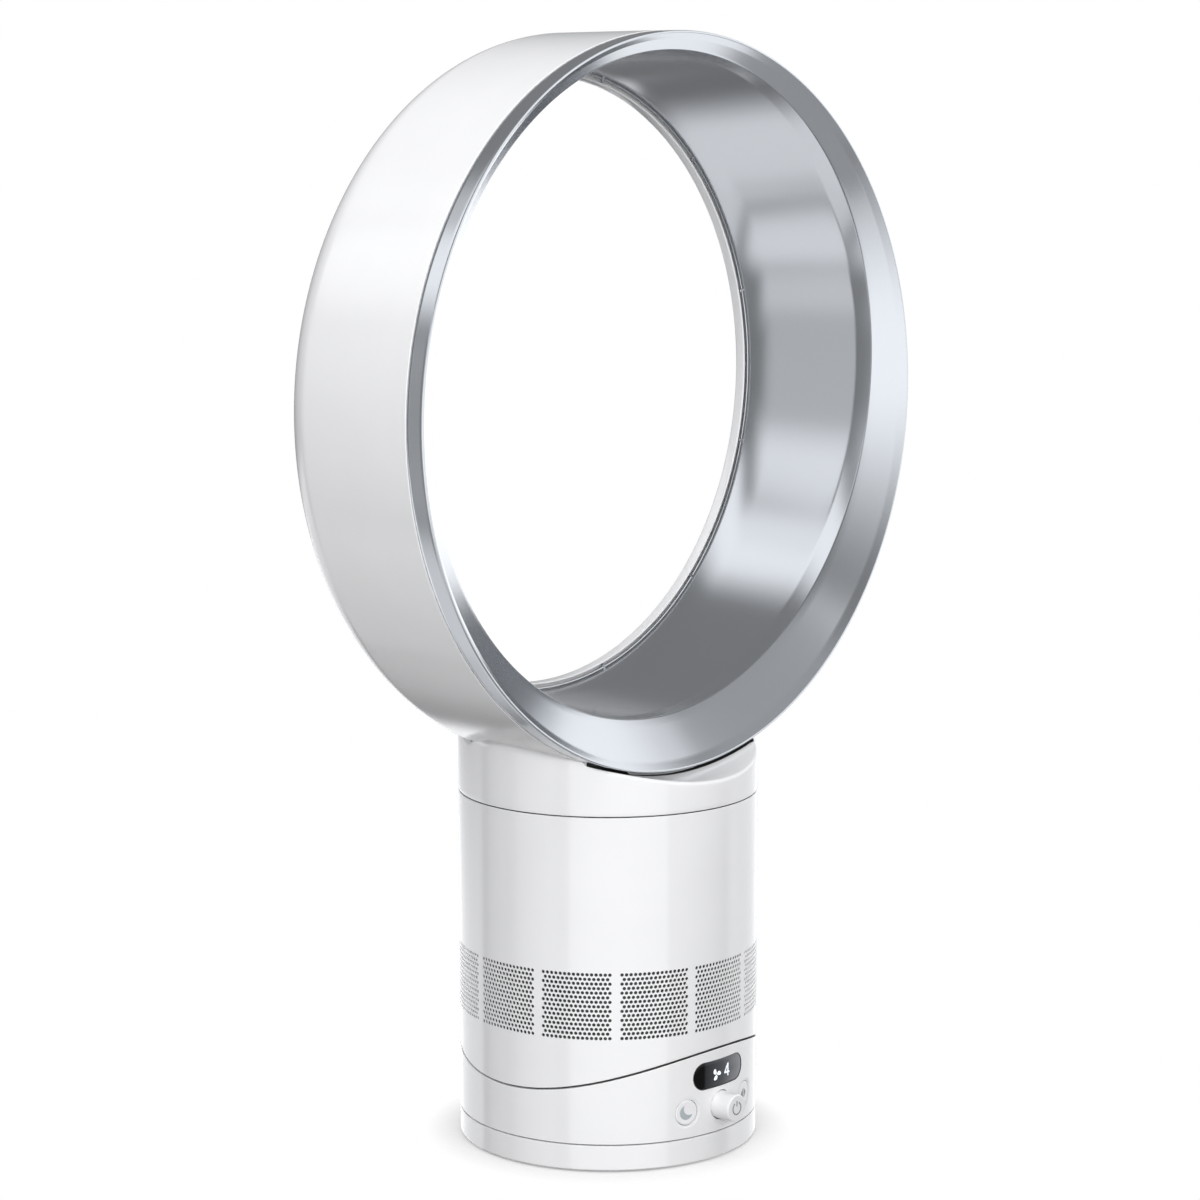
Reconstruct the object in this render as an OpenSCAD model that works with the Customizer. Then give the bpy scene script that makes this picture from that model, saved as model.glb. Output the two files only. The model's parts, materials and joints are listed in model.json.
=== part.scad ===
/* [Base column] */
// Diameter of the round base column
base_d = 149.3; // [140:0.1:160]
// Wall of the moulded column casings
wall = 2.3; // [2:0.1:2.6]
// Height of the foot's top edge above the floor
foot_top = 13.4; // [13:0.1:15]
// Height of the line between the column and the nozzle's neck
neck_z = 175.8; // [172:0.1:186]

/* [Tilt] */
// Height of the tilt axis
tilt_z = 206; // [200:0.5:212]
// Radius of the curved seam about the tilt axis
tilt_r = 167.7; // [162:0.1:168]
// Gap between the two sides of the curved seam
tilt_gap = 0.5; // [0.4:0.05:0.8]

/* [Nozzle ring] */
// Outer diameter of the ring
ring_d = 356; // [340:1:372]
// Height of the lowest point of the ring's outside
ring_low = 191.1; // [188:0.1:198]
// How far the air bore sits above the ring's outer axis
bore_lift = 7.2; // [4:0.1:8]
// Radial depth from the ring's outside in to the straight guide surface
guide_depth = 16.7; // [15:0.1:20]
// Radial depth from the guide surface in to the rear opening
rear_depth = 9.9; // [9:0.1:12]
// Distance from the column axis forward to the front rim
rim_front = 50.5; // [48:0.1:54]
// Distance from the column axis back to the rear face
rear_back = 45.1; // [44:0.1:47]
// Width of the air slot
slot_gap = 1.3; // [1:0.05:1.6]

/* [Air intake] */
// Number of perforated panels round the column
panels = 12; // [8:1:12]
// Diameter of a round intake hole
hole_d = 3.4; // [3:0.1:3.8]
// Rows of holes in a panel
hole_rows = 6; // [4:1:6]
// Holes in the longer rows
hole_cols = 7; // [5:1:7]

/* [Impeller] */
// Number of impeller blades
blades = 9; // [7:1:11]
// Thickness of an impeller blade
blade_t = 1.4; // [1.2:0.1:2]
// Number of diffuser vanes
vanes = 11; // [9:1:13]

/* [Oscillation drive] */
// Tooth module of the oscillation drive
tooth_m = 1.2; // [1.1:0.05:1.25]
// Teeth on the drive pinion
pinion_n = 14; // [14:1:15]
// Teeth on a full turn of the rack
rack_n = 84; // [84:1:85]

/* [Controls] */
// Height of the row of controls
control_z = 26.8; // [26:0.1:28]
// Angle from the front to each side button
button_angle = 17; // [16.5:0.1:18]
// Diameter of the power knob
knob_d = 14; // [13:0.1:14.6]
// How far the knob stands out of the casing
knob_out = 10.3; // [9:0.1:12]
// Diameter of a side button
button_d = 12.4; // [11.6:0.1:12.8]
// Length of the display window
window_l = 36.8; // [32:0.1:40]
// Height of the display window
window_h = 13.4; // [12:0.1:14]
// Height of the middle of the display window
window_z = 43.2; // [42.6:0.1:44]

/* [Hidden] */
$fn = 96;

// Shared clearances and small sizes
cut = 1;                    // overrun of a cutting solid
seam = 0.5;                 // shadow line between two casings
slip = 0.3;                 // clearance between pieces on different bodies
run = 0.05;                 // radial clearance of a running fit
snug = 0.15;                // clearance of a fixed piece in its seat
base_r = base_d / 2;
shell_in_r = base_r - wall;
inside_r = shell_in_r - snug;

// Foot
foot_low = 0.6;             // underside of the foot above the floor
foot_round = 1.2;           // rounding of the foot's lower edge
floor_t = 2.2;
floor_z = foot_low + floor_t;
pad_r = 68;
pad_t = 1.4;
pad_groove_w = 2;
pad_groove_h = 0.6;
pad_groove_r = 20;
pad_groove_step = 15;
pad_grooves = 3;
hub_r = 12;
hub_bore_r = 8;
hub_top = 23.4;
clip_groove = 0.8;
clip_r = 15.6;
clip_t = 1.2;
clip_gap_angle = 40;
chassis_z = foot_top + seam + slip;
chassis_t = 2.5;
chassis_top = chassis_z + chassis_t;
bush_t = 2;
bush_r = hub_r + run + bush_t;
bush_boss_t = 3;
bush_boss_r = bush_r + bush_boss_t;
bush_l = 6.6;
bush_top = chassis_z + bush_l;
clip_z = bush_top + slip;
thrust_r = 66.5;
thrust_w = 5;
thrust_t = 1.3;
thrust_wall_w = 3;
thrust_top = chassis_z - slip;

// Oscillation drive
pressure_angle = 20;
rack_pitch_r = rack_n * tooth_m / 2;
pinion_pitch_r = pinion_n * tooth_m / 2;
pinion_y = rack_pitch_r - pinion_pitch_r;
flank_gap = 0.14;           // taken from each flank of both gears
rack_half_teeth = 15;
rack_half_angle = 68;
rack_back = 6.5;            // depth of the rack behind its pitch circle
rack_r = rack_pitch_r + rack_back;
rack_post_h = 3;
rack_z = floor_z + rack_post_h;
rack_h = 5;
rack_foot_in = 2.6;
rack_foot_r = rack_r - rack_foot_in;
rack_foot_w = 4.6;
rack_foot_angles = [-54, -27, 27, 54];
screw_r = 1.4;
screw_head_r = 2.6;
screw_head_h = 1.6;
pinion_z = rack_z + slip;
pinion_h = rack_h - 2 * slip;
drive_shaft_r = 2.5;
drive_shaft_hole_r = drive_shaft_r + 2 * slip;
drive_motor_r = 14;
drive_motor_h = 15.5;
drive_motor_offset = 8;
drive_motor_y = pinion_y - drive_motor_offset;
drive_motor_ear = 17.5;
drive_motor_ear_r = 3.5;
drive_motor_ear_t = 1;

// Power inlet in the rear of the foot
inlet_z = 7.1;
inlet_w = 9;
inlet_h = 8;
inlet_l = 13;
inlet_bore_r = 3.2;
inlet_bore_l = 10;
inlet_pin_r = 0.9;
inlet_face = 1.1;
inlet_mouth_r = 3.9;

// Control casing and cradle
casing_z = foot_top + seam;
casing_top = 60;
cradle_t = 2.5;
cradle_r = tilt_r + tilt_gap / 2;
shoe_r = tilt_r - tilt_gap / 2;
rail_x = 28;
stem_w = 2.8;
slot_w = stem_w + 4 * slip;
flange_w = 10;
flange_t = 2;
flange_r = cradle_r + cradle_t + tilt_gap;
channel_w = flange_w + 4 * slip;
channel_r = flange_r + flange_t + 2 * slip;
channel_wall = 1.6;
tilt_angle = 10;
runner_half_angle = 9.3;
channel_half_angle = runner_half_angle + tilt_angle + 0.8;
trough_half_angle = channel_half_angle + 1;
wire_w = 14;
wire_half_angle = 13;
post_orbit = 58.4;
post_angles = [38, 142, 218, 322];
post_r = 3.4;
post_split = 29;
post_head_z = chassis_z + 2 * slip;
lug_t = 4;

// Controls
knob_taper = 0.3;
knob_round = 0.7;
knob_flange_w = 1.3;
knob_flange_r = knob_d / 2 + knob_flange_w;
knob_flange_t = 1.5;
knob_travel = 1.2;
knob_socket = 9;
knob_grip_gap = 0.4;
knob_face_y = base_r + knob_out;
knob_back_gap = 1;
knob_back_y = shell_in_r - knob_flange_t - knob_back_gap;
encoder_shaft_r = 3;
encoder_w = 12.4;
encoder_l = 8;
encoder_gap = 4;            // bare shaft between knob and encoder
encoder_front_y = knob_back_y - knob_travel - encoder_gap;
encoder_bush_r = 4.5;
encoder_bush_l = 2.4;
encoder_back_y = encoder_front_y - encoder_l;
encoder_shaft_in = 4;
pusher_t = 1;
pusher_in = 0.4;
pusher_r = encoder_shaft_r - pusher_in;
button_travel = 1;
button_flange_w = 1.1;
button_flange_r = button_d / 2 + button_flange_w;
button_flange_t = 1.2;
button_stem_r = 1.8;
button_dish = 0.25;
bezel_r = 7.65;
bezel_d = 0.25;
switch_w = 6;
switch_l = 4;
switch_plunger_r = 1.5;
switch_plunger_l = 1.2;
switch_board_w = 11;
board_t = 1.6;
switch_r = encoder_back_y + board_t + switch_l;
bracket_t = 2;
bracket_r = encoder_back_y;
bracket_w = 20;
bracket_top = 44;
window_t = 1.1;
window_lip = 0.6;
window_gap = 0.12;
display_l = 30;
display_h = 9;
display_drop = 1.4;
display_z = window_z - display_drop;
display_depth = 3.8;
display_front_y = shell_in_r - display_depth;
display_board_l = 38;
display_board_h = 10.4;
display_post_r = 2;
display_post_x = 13;
control_board_x = -39;
control_board_y = 8;
control_board_w = 30;
control_board_l = 44;
board_post_h = 2.5;
control_board_z = chassis_top + board_post_h;
board_post_r = 2;
chip_w = 8;
chip_h = 1.8;
capacitor_r = 4;
capacitor_h = 7;

// Upper column
upper_r = shoe_r;
upper_top = neck_z - seam / 2;
intake_z = 83.1;
intake_span = 30.9;
intake_angle = 27.1;
row_pitch = (intake_span - hole_d) / max(1, hole_rows - 1);
hole_step_angle = (intake_angle - hole_d / base_r * 180 / PI) / max(1, hole_cols - 1);
ledge_z = 165;
ledge_t = 2.8;
ledge_in = 66.5;
skirt_z = ledge_z + ledge_t;
skirt_in = 69.4;
skirt_gap = 0.4;
skirt_r = shell_in_r - skirt_gap;
seal_rise = 2.2;
seal_z = skirt_z + seal_rise;
seal_h = 2.4;
seal_depth = 1;
seal_in = skirt_r - seal_depth;
shoe_t = 2.5;
shoe_wall = 2;
shoe_top = 60;
shoe_hole_r = 7;
shoe_post_r = 4;
shoe_post_orbit = 64.5;
shoe_post_angles = [35, 145, 215, 325];
foam_in = 31;
foam_r = 59;
drive_board_r = 27;
drive_board_z = 58;
drive_post_orbit = 20;
drive_post_r = 2.4;
shelf_z = 100;
shelf_t = 2;
shelf_in = 67;

// Fan duct
throat_r = 35;
bell_r = 44;
bell_top = 106;
bell_flange_r = 70.6;
duct_t = 1.8;
duct_r = 65.5;
mount_h = 3;
duct_top = ledge_z - mount_h;
duct_turn_z = 143;
duct_shares = [[0, 0], [0.066, 0.162], [0.295, 0.378], [0.656, 0.622], [0.918, 0.838], [1, 1]];
duct_rise = [for (p = duct_shares)
  [throat_r + p[0] * (duct_r - throat_r), bell_top + p[1] * (duct_turn_z - bell_top)]];
lug_r = 4;
lug_orbit = 68;
lug_angles = [60, 180, 300];
mount_r = 2.8;
bucket_r = 48;
bucket_z = 132.8;
bucket_mid = 146;
bucket_top = 158;
bucket_dome = 167;
bucket_t = 1.8;
bucket_cap_r = 12;
bearing_r = 6.5;
bearing_h = 5;
bearing_seat_t = 2;
shaft_r = 2;
shaft_low = 104.6;
shaft_high = 165.1;
stator_r = 23;
stator_in = 12.8;
stator_z = 138.6;
stator_top = 156.4;
rotor_r = 12.2;
rotor_z = 139.5;
rotor_h = 16;
vane_t = 1.4;
vane_bend_r = 24;
vane_z = 147;
vane_top = 160;
vane_ring_t = 1.5;
hub_in_r = 7;
hub_out_r = 46;
hub_low_z = 108;
hub_high_z = 131.5;
hub_shares = [[0, 0], [0.128, 0.106], [0.385, 0.34], [0.692, 0.681], [1, 1]];
hub_rise = [for (p = hub_shares)
  [hub_in_r + p[0] * (hub_out_r - hub_in_r), hub_low_z + p[1] * (hub_high_z - hub_low_z)]];
blade_gap = 0.9;
blade_low = 106.6;
blade_arc_r = 46;
blade_arc_x = 30;
blade_arc_y = 33;
nut_r = 4;
nut_h = 3;

// Nozzle ring
ring_r = ring_d / 2;
ring_z = ring_low + ring_r;
guide_r = ring_r - guide_depth;
rear_r = guide_r - rear_depth;
shell_step = 0.2;           // the white shell stands this far out beside the silver band
shell_r = ring_r + shell_step;
ring_wall = 2.2;
rear_round = 20.5;
shell_front = -40.2;
rim_y = -rim_front;
rim_w = 2.1;
rim_round = 1.05;
rim_from_angle = 210;
cone_rise_share = 0.71;           // depth gained for each step towards the bore
cone_reach = 5.4;
cone_in_r = rear_r - cone_reach;
cone_wall = 2.8;
spigot_l = 6;
guide_skew = 0.3;           // offset that keeps the guide band parallel to the cone's inner edge
guide_end = -28.3;
lip_t = 1.5;
lip_l = 5.9;
lip_front = rear_back - lip_l;
lip_round = 1.2;
throat_out = rear_r + lip_t + slot_gap;
diffuser_lap = 0.8;
diffuser_back = lip_front + diffuser_lap;
flare = 0.2;                // the throat widens this much towards its end
flare_l = 2.2;
throat_y = 32;
inner_wall = 2;
spacers = 12;
spacer_w = 1.6;
spacer_l = 4;
saddle_gap = 1.3;
neck_lap = 6.5;
neck_top = ring_z - sqrt(ring_r * ring_r - base_r * base_r) + neck_lap;
neck_wall = 3.2;
neck_collar_h = 6;
passage_front = -35;
passage_back = rear_back - rear_round - ring_wall;

// Helpers
module disc(r, z0, z1) {
  translate([0, 0, z0]) cylinder(r = r, h = z1 - z0);
}

module tube(r, inner, z0, z1) {
  difference() {
    disc(r, z0, z1);
    disc(inner, z0 - cut, z1 + cut);
  }
}

module block(size, x, y, z0) {
  translate([x, y, z0 + size[2] / 2]) cube(size, center = true);
}

module tilt_drum(r) {
  translate([0, 0, tilt_z]) rotate([0, 90, 0]) cylinder(r = r, h = 4 * base_r, center = true);
}

module tilt_arc(x, w, r0, r1, half) {
  translate([x - w / 2, 0, tilt_z]) rotate([0, 90, 0]) rotate([0, 0, -half])
    rotate_extrude(angle = 2 * half)
      polygon([[r0, 0], [r1, 0], [r1, w], [r0, w]]);
}

module facing(angle, z, r) {
  rotate([0, 0, angle]) translate([0, -r, z]) rotate([90, 0, 0]) children();
}

module ring_axis(lift) {
  translate([0, 0, ring_z + lift]) rotate([-90, 0, 0]) children();
}

module posts(orbit, angles, r, z0, z1) {
  for (a = angles) rotate([0, 0, a]) translate([orbit, 0, 0]) disc(r, z0, z1);
}

module lugs(orbit, angles, r, z0) {
  intersection() {
    disc(shell_in_r + wall / 2, z0, z0 + lug_t);
    for (a = angles) rotate([0, 0, a]) translate([orbit, 0, 0]) {
      disc(r, z0, z0 + lug_t);
      block([base_r - orbit, 2 * r, lug_t], (base_r - orbit) / 2, 0, z0);
    }
  }
}

module screw(length) {
  union() {
    cylinder(r = screw_head_r, h = screw_head_h);
    cylinder(r = screw_r, h = length);
  }
}

function arc_points(x, y, r, a0, a1, n) =
  [for (i = [0 : n]) let (a = a0 + (a1 - a0) * i / n) [x + r * cos(a), y + r * sin(a)]];

// Roll angle at which the involute reaches radius r
function roll_at(rb, r) = sqrt(max(0, (r / rb) * (r / rb) - 1)) * 180 / PI;

// Angle of the involute point at radius r
function involute_angle(rb, r) = roll_at(rb, r) - acos(min(1, rb / max(rb, r)));

// Outline of the teeth numbered from -half to half, number 0 pointing along +Y
function teeth_points(n, m, add, ded, grow, half) =
  let (
    rp = n * m / 2,
    rb = rp * cos(pressure_angle),
    r0 = rp - ded,
    r1 = rp + add,
    low = max(rb, r0 + m / 10),
    mid = 90 / n + grow / rp * 180 / PI + involute_angle(rb, rp),
    radii = [low, (low + rp) / 2, rp, r1]
  )
  [for (i = [-half : half]) let (a = 90 + i * 360 / n) each concat(
    [[r0 * cos(a - mid + involute_angle(rb, low)), r0 * sin(a - mid + involute_angle(rb, low))]],
    [for (r = radii) let (b = a - mid + involute_angle(rb, r)) [r * cos(b), r * sin(b)]],
    [for (k = [3 : -1 : 0]) let (r = radii[k], b = a + mid - involute_angle(rb, r))
      [r * cos(b), r * sin(b)]],
    [[r0 * cos(a + mid - involute_angle(rb, low)), r0 * sin(a + mid - involute_angle(rb, low))]]
  )];

module rack_posts(r, z0, z1) {
  for (a = rack_foot_angles) rotate([0, 0, -a]) translate([0, rack_foot_r, 0]) disc(r, z0, z1);
}

// Foot
module foot_shell() {
  color("whitesmoke") difference() {
    union() {
      difference() {
        rotate_extrude() polygon(concat(
          [[0, foot_low], [0, foot_top], [base_r, foot_top]],
          arc_points(base_r - foot_round, foot_low + foot_round, foot_round, 0, -90, 6)
        ));
        disc(shell_in_r, floor_z, foot_top + cut);
      }
      disc(hub_r, floor_z - cut / 2, hub_top);
      tube(thrust_r + thrust_wall_w / 2, thrust_r - thrust_wall_w / 2,
        floor_z - cut / 2, thrust_top - thrust_t);
      rack_posts(rack_foot_w / 2, floor_z - cut / 2, rack_z);
    }
    disc(hub_bore_r, floor_z, hub_top + cut);
    disc(pad_r + snug, 0, pad_t);
    rack_posts(screw_r, rack_z - rack_post_h, rack_z + cut);
    tube(hub_r + cut, hub_r - clip_groove, clip_z, clip_z + clip_t);
    block([inlet_w + 2 * snug, inlet_l + 2 * snug, inlet_h + snug],
      0, shell_in_r - inlet_l / 2, inlet_z - inlet_h / 2);
    translate([0, shell_in_r - cut, inlet_z]) rotate([-90, 0, 0])
      cylinder(r = inlet_mouth_r, h = wall + 2 * cut);
    block([hub_bore_r, 2 * hub_r, inlet_h], 0, hub_r, floor_z);
  }
}

module foot_pad() {
  color("dimgray") difference() {
    disc(pad_r, 0, pad_t);
    for (i = [0 : pad_grooves - 1])
      tube(pad_groove_r + i * pad_groove_step + pad_groove_w,
        pad_groove_r + i * pad_groove_step, -cut, pad_groove_h);
  }
}

module oscillation_rack() {
  color("ghostwhite") translate([0, 0, rack_z]) linear_extrude(rack_h) difference() {
    intersection() {
      circle(r = rack_r);
      polygon([for (a = [-rack_half_angle, -rack_half_angle / 2, 0, rack_half_angle / 2,
        rack_half_angle]) 2 * rack_r * [sin(a), cos(a)], [0, 0]]);
    }
    circle(r = rack_pitch_r - tooth_m);
    polygon(concat(
      teeth_points(rack_n, tooth_m, tooth_m * 1.25, tooth_m * 1.2, flank_gap, rack_half_teeth),
      [[0, 0]]
    ));
    for (a = rack_foot_angles) rotate([0, 0, -a]) translate([0, rack_foot_r])
      circle(r = screw_r + snug);
  }
}

module rack_screws() {
  color("silver") for (a = rack_foot_angles) rotate([0, 0, -a])
    translate([0, rack_foot_r, rack_z + rack_h + screw_head_h])
      rotate([180, 0, 0]) screw(rack_post_h + rack_h + screw_head_h - slip);
}

module thrust_ring() {
  color("gainsboro")
    tube(thrust_r + thrust_w / 2, thrust_r - thrust_w / 2, thrust_top - thrust_t, thrust_top);
}

module pivot_clip() {
  color("silver") difference() {
    tube(clip_r, hub_r - clip_groove, clip_z, clip_z + clip_t);
    rotate([0, 0, 90]) linear_extrude(hub_top + cut)
      polygon([[0, 0], 2 * clip_r * [cos(clip_gap_angle / 2), sin(clip_gap_angle / 2)],
        2 * clip_r * [cos(clip_gap_angle / 2), -sin(clip_gap_angle / 2)]]);
  }
}

module power_inlet() {
  color("black") difference() {
    union() {
      block([inlet_w, inlet_l, inlet_h], 0, shell_in_r - inlet_l / 2, inlet_z - inlet_h / 2);
      translate([0, shell_in_r - cut, inlet_z]) rotate([-90, 0, 0])
        cylinder(r = inlet_mouth_r - snug, h = cut + inlet_face);
    }
    translate([0, shell_in_r + inlet_face - inlet_bore_l, inlet_z]) rotate([-90, 0, 0])
      difference() {
        cylinder(r = inlet_bore_r, h = inlet_bore_l + cut);
        cylinder(r = inlet_pin_r, h = inlet_bore_l - cut);
      }
  }
}

// Turning control base
module base_chassis() {
  color("lightgray") difference() {
    union() {
      disc(inside_r, chassis_z, chassis_top);
      disc(bush_boss_r, chassis_z, bush_top);
      posts(post_orbit, post_angles, post_r, chassis_z, post_split - lug_t);
      for (x = [-1, 1]) for (y = [-1, 1])
        translate([control_board_x + x * control_board_w * 0.36,
          control_board_y + y * control_board_l * 0.32, 0])
          disc(board_post_r, chassis_z, control_board_z);
    }
    disc(bush_r, chassis_z - cut, bush_top + cut);
    translate([0, pinion_y, 0]) disc(drive_shaft_hole_r, chassis_z - cut, chassis_top + cut);
    posts(post_orbit, post_angles, screw_r + snug, chassis_z - cut, post_split + cut);
    posts(post_orbit, post_angles, screw_head_r + snug, chassis_z - cut,
      post_head_z + screw_head_h);
    for (s = [-1, 1]) translate([s * drive_motor_ear, drive_motor_y, 0])
      disc(screw_r, chassis_z + slip, chassis_top + cut);
  }
}

module pivot_bush() {
  color("ghostwhite") tube(bush_r, hub_r + run, chassis_z, bush_top);
}

module stadium(l, h, depth) {
  union() {
    for (s = [-1, 1]) translate([s * (l - h) / 2, 0, 0]) cylinder(r = h / 2, h = depth);
    translate([-(l - h) / 2, -h / 2, 0]) cube([l - h, h, depth]);
  }
}

module control_casing() {
  color("whitesmoke") difference() {
    union() {
      tube(base_r, shell_in_r, casing_z, casing_top);
      lugs(post_orbit, post_angles, post_r, post_split - lug_t);
    }
    posts(post_orbit, post_angles, screw_r + snug, casing_z, post_split + cut);
    tilt_drum(cradle_r);
    facing(0, window_z, inside_r - 2 * wall)
      stadium(window_l + 2 * window_gap, window_h + 2 * window_gap, 4 * wall);
    facing(0, control_z, shell_in_r - 2 * wall)
      cylinder(r = knob_d / 2 + knob_grip_gap, h = 4 * wall);
    for (a = [-button_angle, button_angle]) {
      facing(a, control_z, shell_in_r - 2 * wall)
        cylinder(r = button_d / 2 + slip, h = 4 * wall);
      intersection() {
        facing(a, control_z, shell_in_r) cylinder(r = bezel_r, h = 2 * wall);
        tube(base_r + cut, base_r - bezel_d, casing_z, casing_top);
      }
    }
  }
}

module tilt_cradle() {
  color("whitesmoke") difference() {
    union() {
      intersection() {
        disc(inside_r, chassis_top, casing_top);
        difference() {
          union() {
            tilt_drum(cradle_r + cradle_t);
            for (x = [-rail_x, rail_x])
              tilt_arc(x, channel_w + 2 * channel_wall, cradle_r, channel_r + channel_wall,
                trough_half_angle);
          }
          tilt_drum(cradle_r);
        }
      }
      difference() {
        posts(post_orbit, post_angles, post_r, post_split, casing_top - wall);
        tilt_drum(cradle_r + cradle_t / 2);
      }
    }
    for (x = [-rail_x, rail_x]) {
      tilt_arc(x, slot_w, cradle_r - cut, flange_r, channel_half_angle);
      tilt_arc(x, channel_w, cradle_r + cradle_t, channel_r, channel_half_angle);
    }
    tilt_arc(0, wire_w, cradle_r - cut, cradle_r + cradle_t + cut, wire_half_angle);
    posts(post_orbit, post_angles, screw_r, post_split - cut, post_split + 2 * post_r);
  }
}

module cradle_screws() {
  color("silver") for (a = post_angles) rotate([0, 0, a]) translate([post_orbit, 0, post_head_z])
    screw(post_split + 2 * post_r - post_head_z - slip);
}

module display_window() {
  color("black") union() {
    intersection() {
      tube(base_r - bezel_d / 2, shell_in_r - window_t, casing_z, casing_top);
      facing(0, window_z, inside_r - wall) stadium(window_l, window_h, 4 * wall);
    }
    intersection() {
      tube(shell_in_r, shell_in_r - window_t, casing_z, casing_top);
      facing(0, window_z, inside_r - wall)
        stadium(window_l + 2 * window_lip, window_h + 2 * window_lip, 4 * wall);
    }
  }
}

module display_board() {
  color("darkgreen") {
    union() {
      block([display_board_l, board_t, display_board_h], 0,
        -display_front_y + switch_l + board_t / 2, display_z - display_board_h / 2);
      block([display_l, switch_l, display_h], 0,
        -display_front_y + switch_l / 2, display_z - display_h / 2);
    }
  }
}

module control_board() {
  color("darkgreen") translate([control_board_x, control_board_y, control_board_z]) union() {
    translate([-control_board_w / 2, -control_board_l / 2, 0])
      cube([control_board_w, control_board_l, board_t]);
    for (y = [-1, 0, 1]) translate([-chip_w / 2, y * chip_w * 2 - chip_w / 2, board_t])
      cube([chip_w, chip_w, chip_h]);
    for (y = [-1, 1]) translate([chip_w * 1.2, y * chip_w, board_t])
      cylinder(r = capacitor_r, h = capacitor_h);
  }
}

module oscillation_motor() {
  color("silver") difference() {
    union() {
      translate([0, drive_motor_y, 0]) disc(drive_motor_r, chassis_top, chassis_top + drive_motor_h);
      for (s = [-1, 1]) translate([s * drive_motor_ear, drive_motor_y, 0])
        disc(drive_motor_ear_r, chassis_top, chassis_top + drive_motor_ear_t);
      block([2 * drive_motor_ear, 2 * drive_motor_ear_r, drive_motor_ear_t],
        0, drive_motor_y, chassis_top);
    }
    translate([0, pinion_y, 0])
      disc(drive_shaft_r + run, chassis_top - cut, chassis_top + drive_motor_h / 2);
    for (s = [-1, 1]) translate([s * drive_motor_ear, drive_motor_y, 0])
      disc(screw_r + snug, chassis_top - cut, chassis_top + drive_motor_ear_t + cut);
  }
}

module motor_screws() {
  color("silver") for (s = [-1, 1])
    translate([s * drive_motor_ear, drive_motor_y, chassis_top + drive_motor_ear_t + screw_head_h])
      rotate([180, 0, 0]) screw(screw_head_h + drive_motor_ear_t + chassis_t - 2 * slip);
}

module drive_pinion() {
  color("ivory") translate([0, pinion_y, 0]) union() {
    translate([0, 0, pinion_z]) rotate([0, 0, (pinion_n + 1) % 2 * 180 / pinion_n])
      linear_extrude(pinion_h) polygon(teeth_points(pinion_n, tooth_m, tooth_m, tooth_m * 1.2, -flank_gap,
        (pinion_n - 1) / 2));
    disc(drive_shaft_r, pinion_z, chassis_top + drive_motor_h / 2 - slip);
  }
}

module control_bracket() {
  color("lightgray") difference() {
    union() {
      block([bracket_w, bracket_t, bracket_top - chassis_top], 0,
        -bracket_r + bracket_t / 2, chassis_top);
      for (a = [-button_angle, button_angle]) rotate([0, 0, a])
        block([bracket_w, bracket_t, control_z + switch_board_w / 2 - chassis_top], 0,
          -bracket_r + bracket_t / 2, chassis_top);
      for (x = [-display_post_x / 2, display_post_x / 2])
        translate([x, -bracket_r + bracket_t / 2, display_z]) rotate([90, 0, 0])
          cylinder(r = display_post_r,
            h = display_front_y - switch_l - board_t - bracket_r + bracket_t / 2);
    }
  }
}

module knob_encoder() {
  color("dimgray") difference() {
    union() {
      translate([-encoder_w / 2, -encoder_front_y, control_z - encoder_w / 2])
        cube([encoder_w, encoder_l, encoder_w]);
      facing(0, control_z, encoder_front_y - cut)
        cylinder(r = encoder_bush_r, h = encoder_bush_l + cut);
    }
    facing(0, control_z, encoder_back_y + pusher_t)
      cylinder(r = encoder_shaft_r + run, h = encoder_l + encoder_bush_l + cut);
  }
}

module encoder_pusher() {
  color("white") facing(0, control_z, encoder_front_y - encoder_shaft_in - pusher_t - run)
    cylinder(r = pusher_r, h = pusher_t);
}

module encoder_shaft() {
  color("silver") facing(0, control_z, encoder_front_y - encoder_shaft_in)
    cylinder(r = encoder_shaft_r, h = knob_back_y + knob_socket - encoder_front_y + encoder_shaft_in);
}

module power_knob() {
  color("whitesmoke") difference() {
    facing(0, control_z, 0) rotate_extrude() polygon(concat(
      [[0, knob_back_y], [knob_flange_r, knob_back_y],
        [knob_flange_r, knob_back_y + knob_flange_t],
        [knob_d / 2, knob_back_y + knob_flange_t]],
      arc_points(knob_d / 2 - knob_taper - knob_round, knob_face_y - knob_round,
        knob_round, 0, 90, 5),
      [[0, knob_face_y]]
    ));
    facing(0, control_z, knob_back_y - cut)
      cylinder(r = encoder_shaft_r, h = knob_socket + cut);
  }
}

module side_button(angle) {
  color("whitesmoke") union() {
    intersection() {
      facing(angle, control_z, shell_in_r - cut) cylinder(r = button_d / 2, h = 2 * wall + cut);
      disc(base_r - button_dish, casing_z, casing_top);
    }
    facing(angle, control_z, shell_in_r - button_flange_t - cut)
      cylinder(r = button_flange_r, h = button_flange_t);
    facing(angle, control_z, switch_r + switch_plunger_l + slip)
      cylinder(r = button_stem_r,
        h = shell_in_r - cut - switch_r - switch_plunger_l - slip);
  }
}

module sleep_button() {
  side_button(-button_angle);
}

module oscillation_button() {
  side_button(button_angle);
}

module button_switches() {
  color("darkslategray") for (a = [-button_angle, button_angle]) union() {
    rotate([0, 0, a]) {
      block([switch_w, switch_l, switch_w], 0, -switch_r + switch_l / 2, control_z - switch_w / 2);
      block([switch_board_w, board_t, switch_board_w], 0,
        -switch_r + switch_l + board_t / 2, control_z - switch_board_w / 2);
    }
    facing(a, control_z, switch_r - cut)
      cylinder(r = switch_plunger_r, h = switch_plunger_l - button_travel + cut);
  }
}

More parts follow.
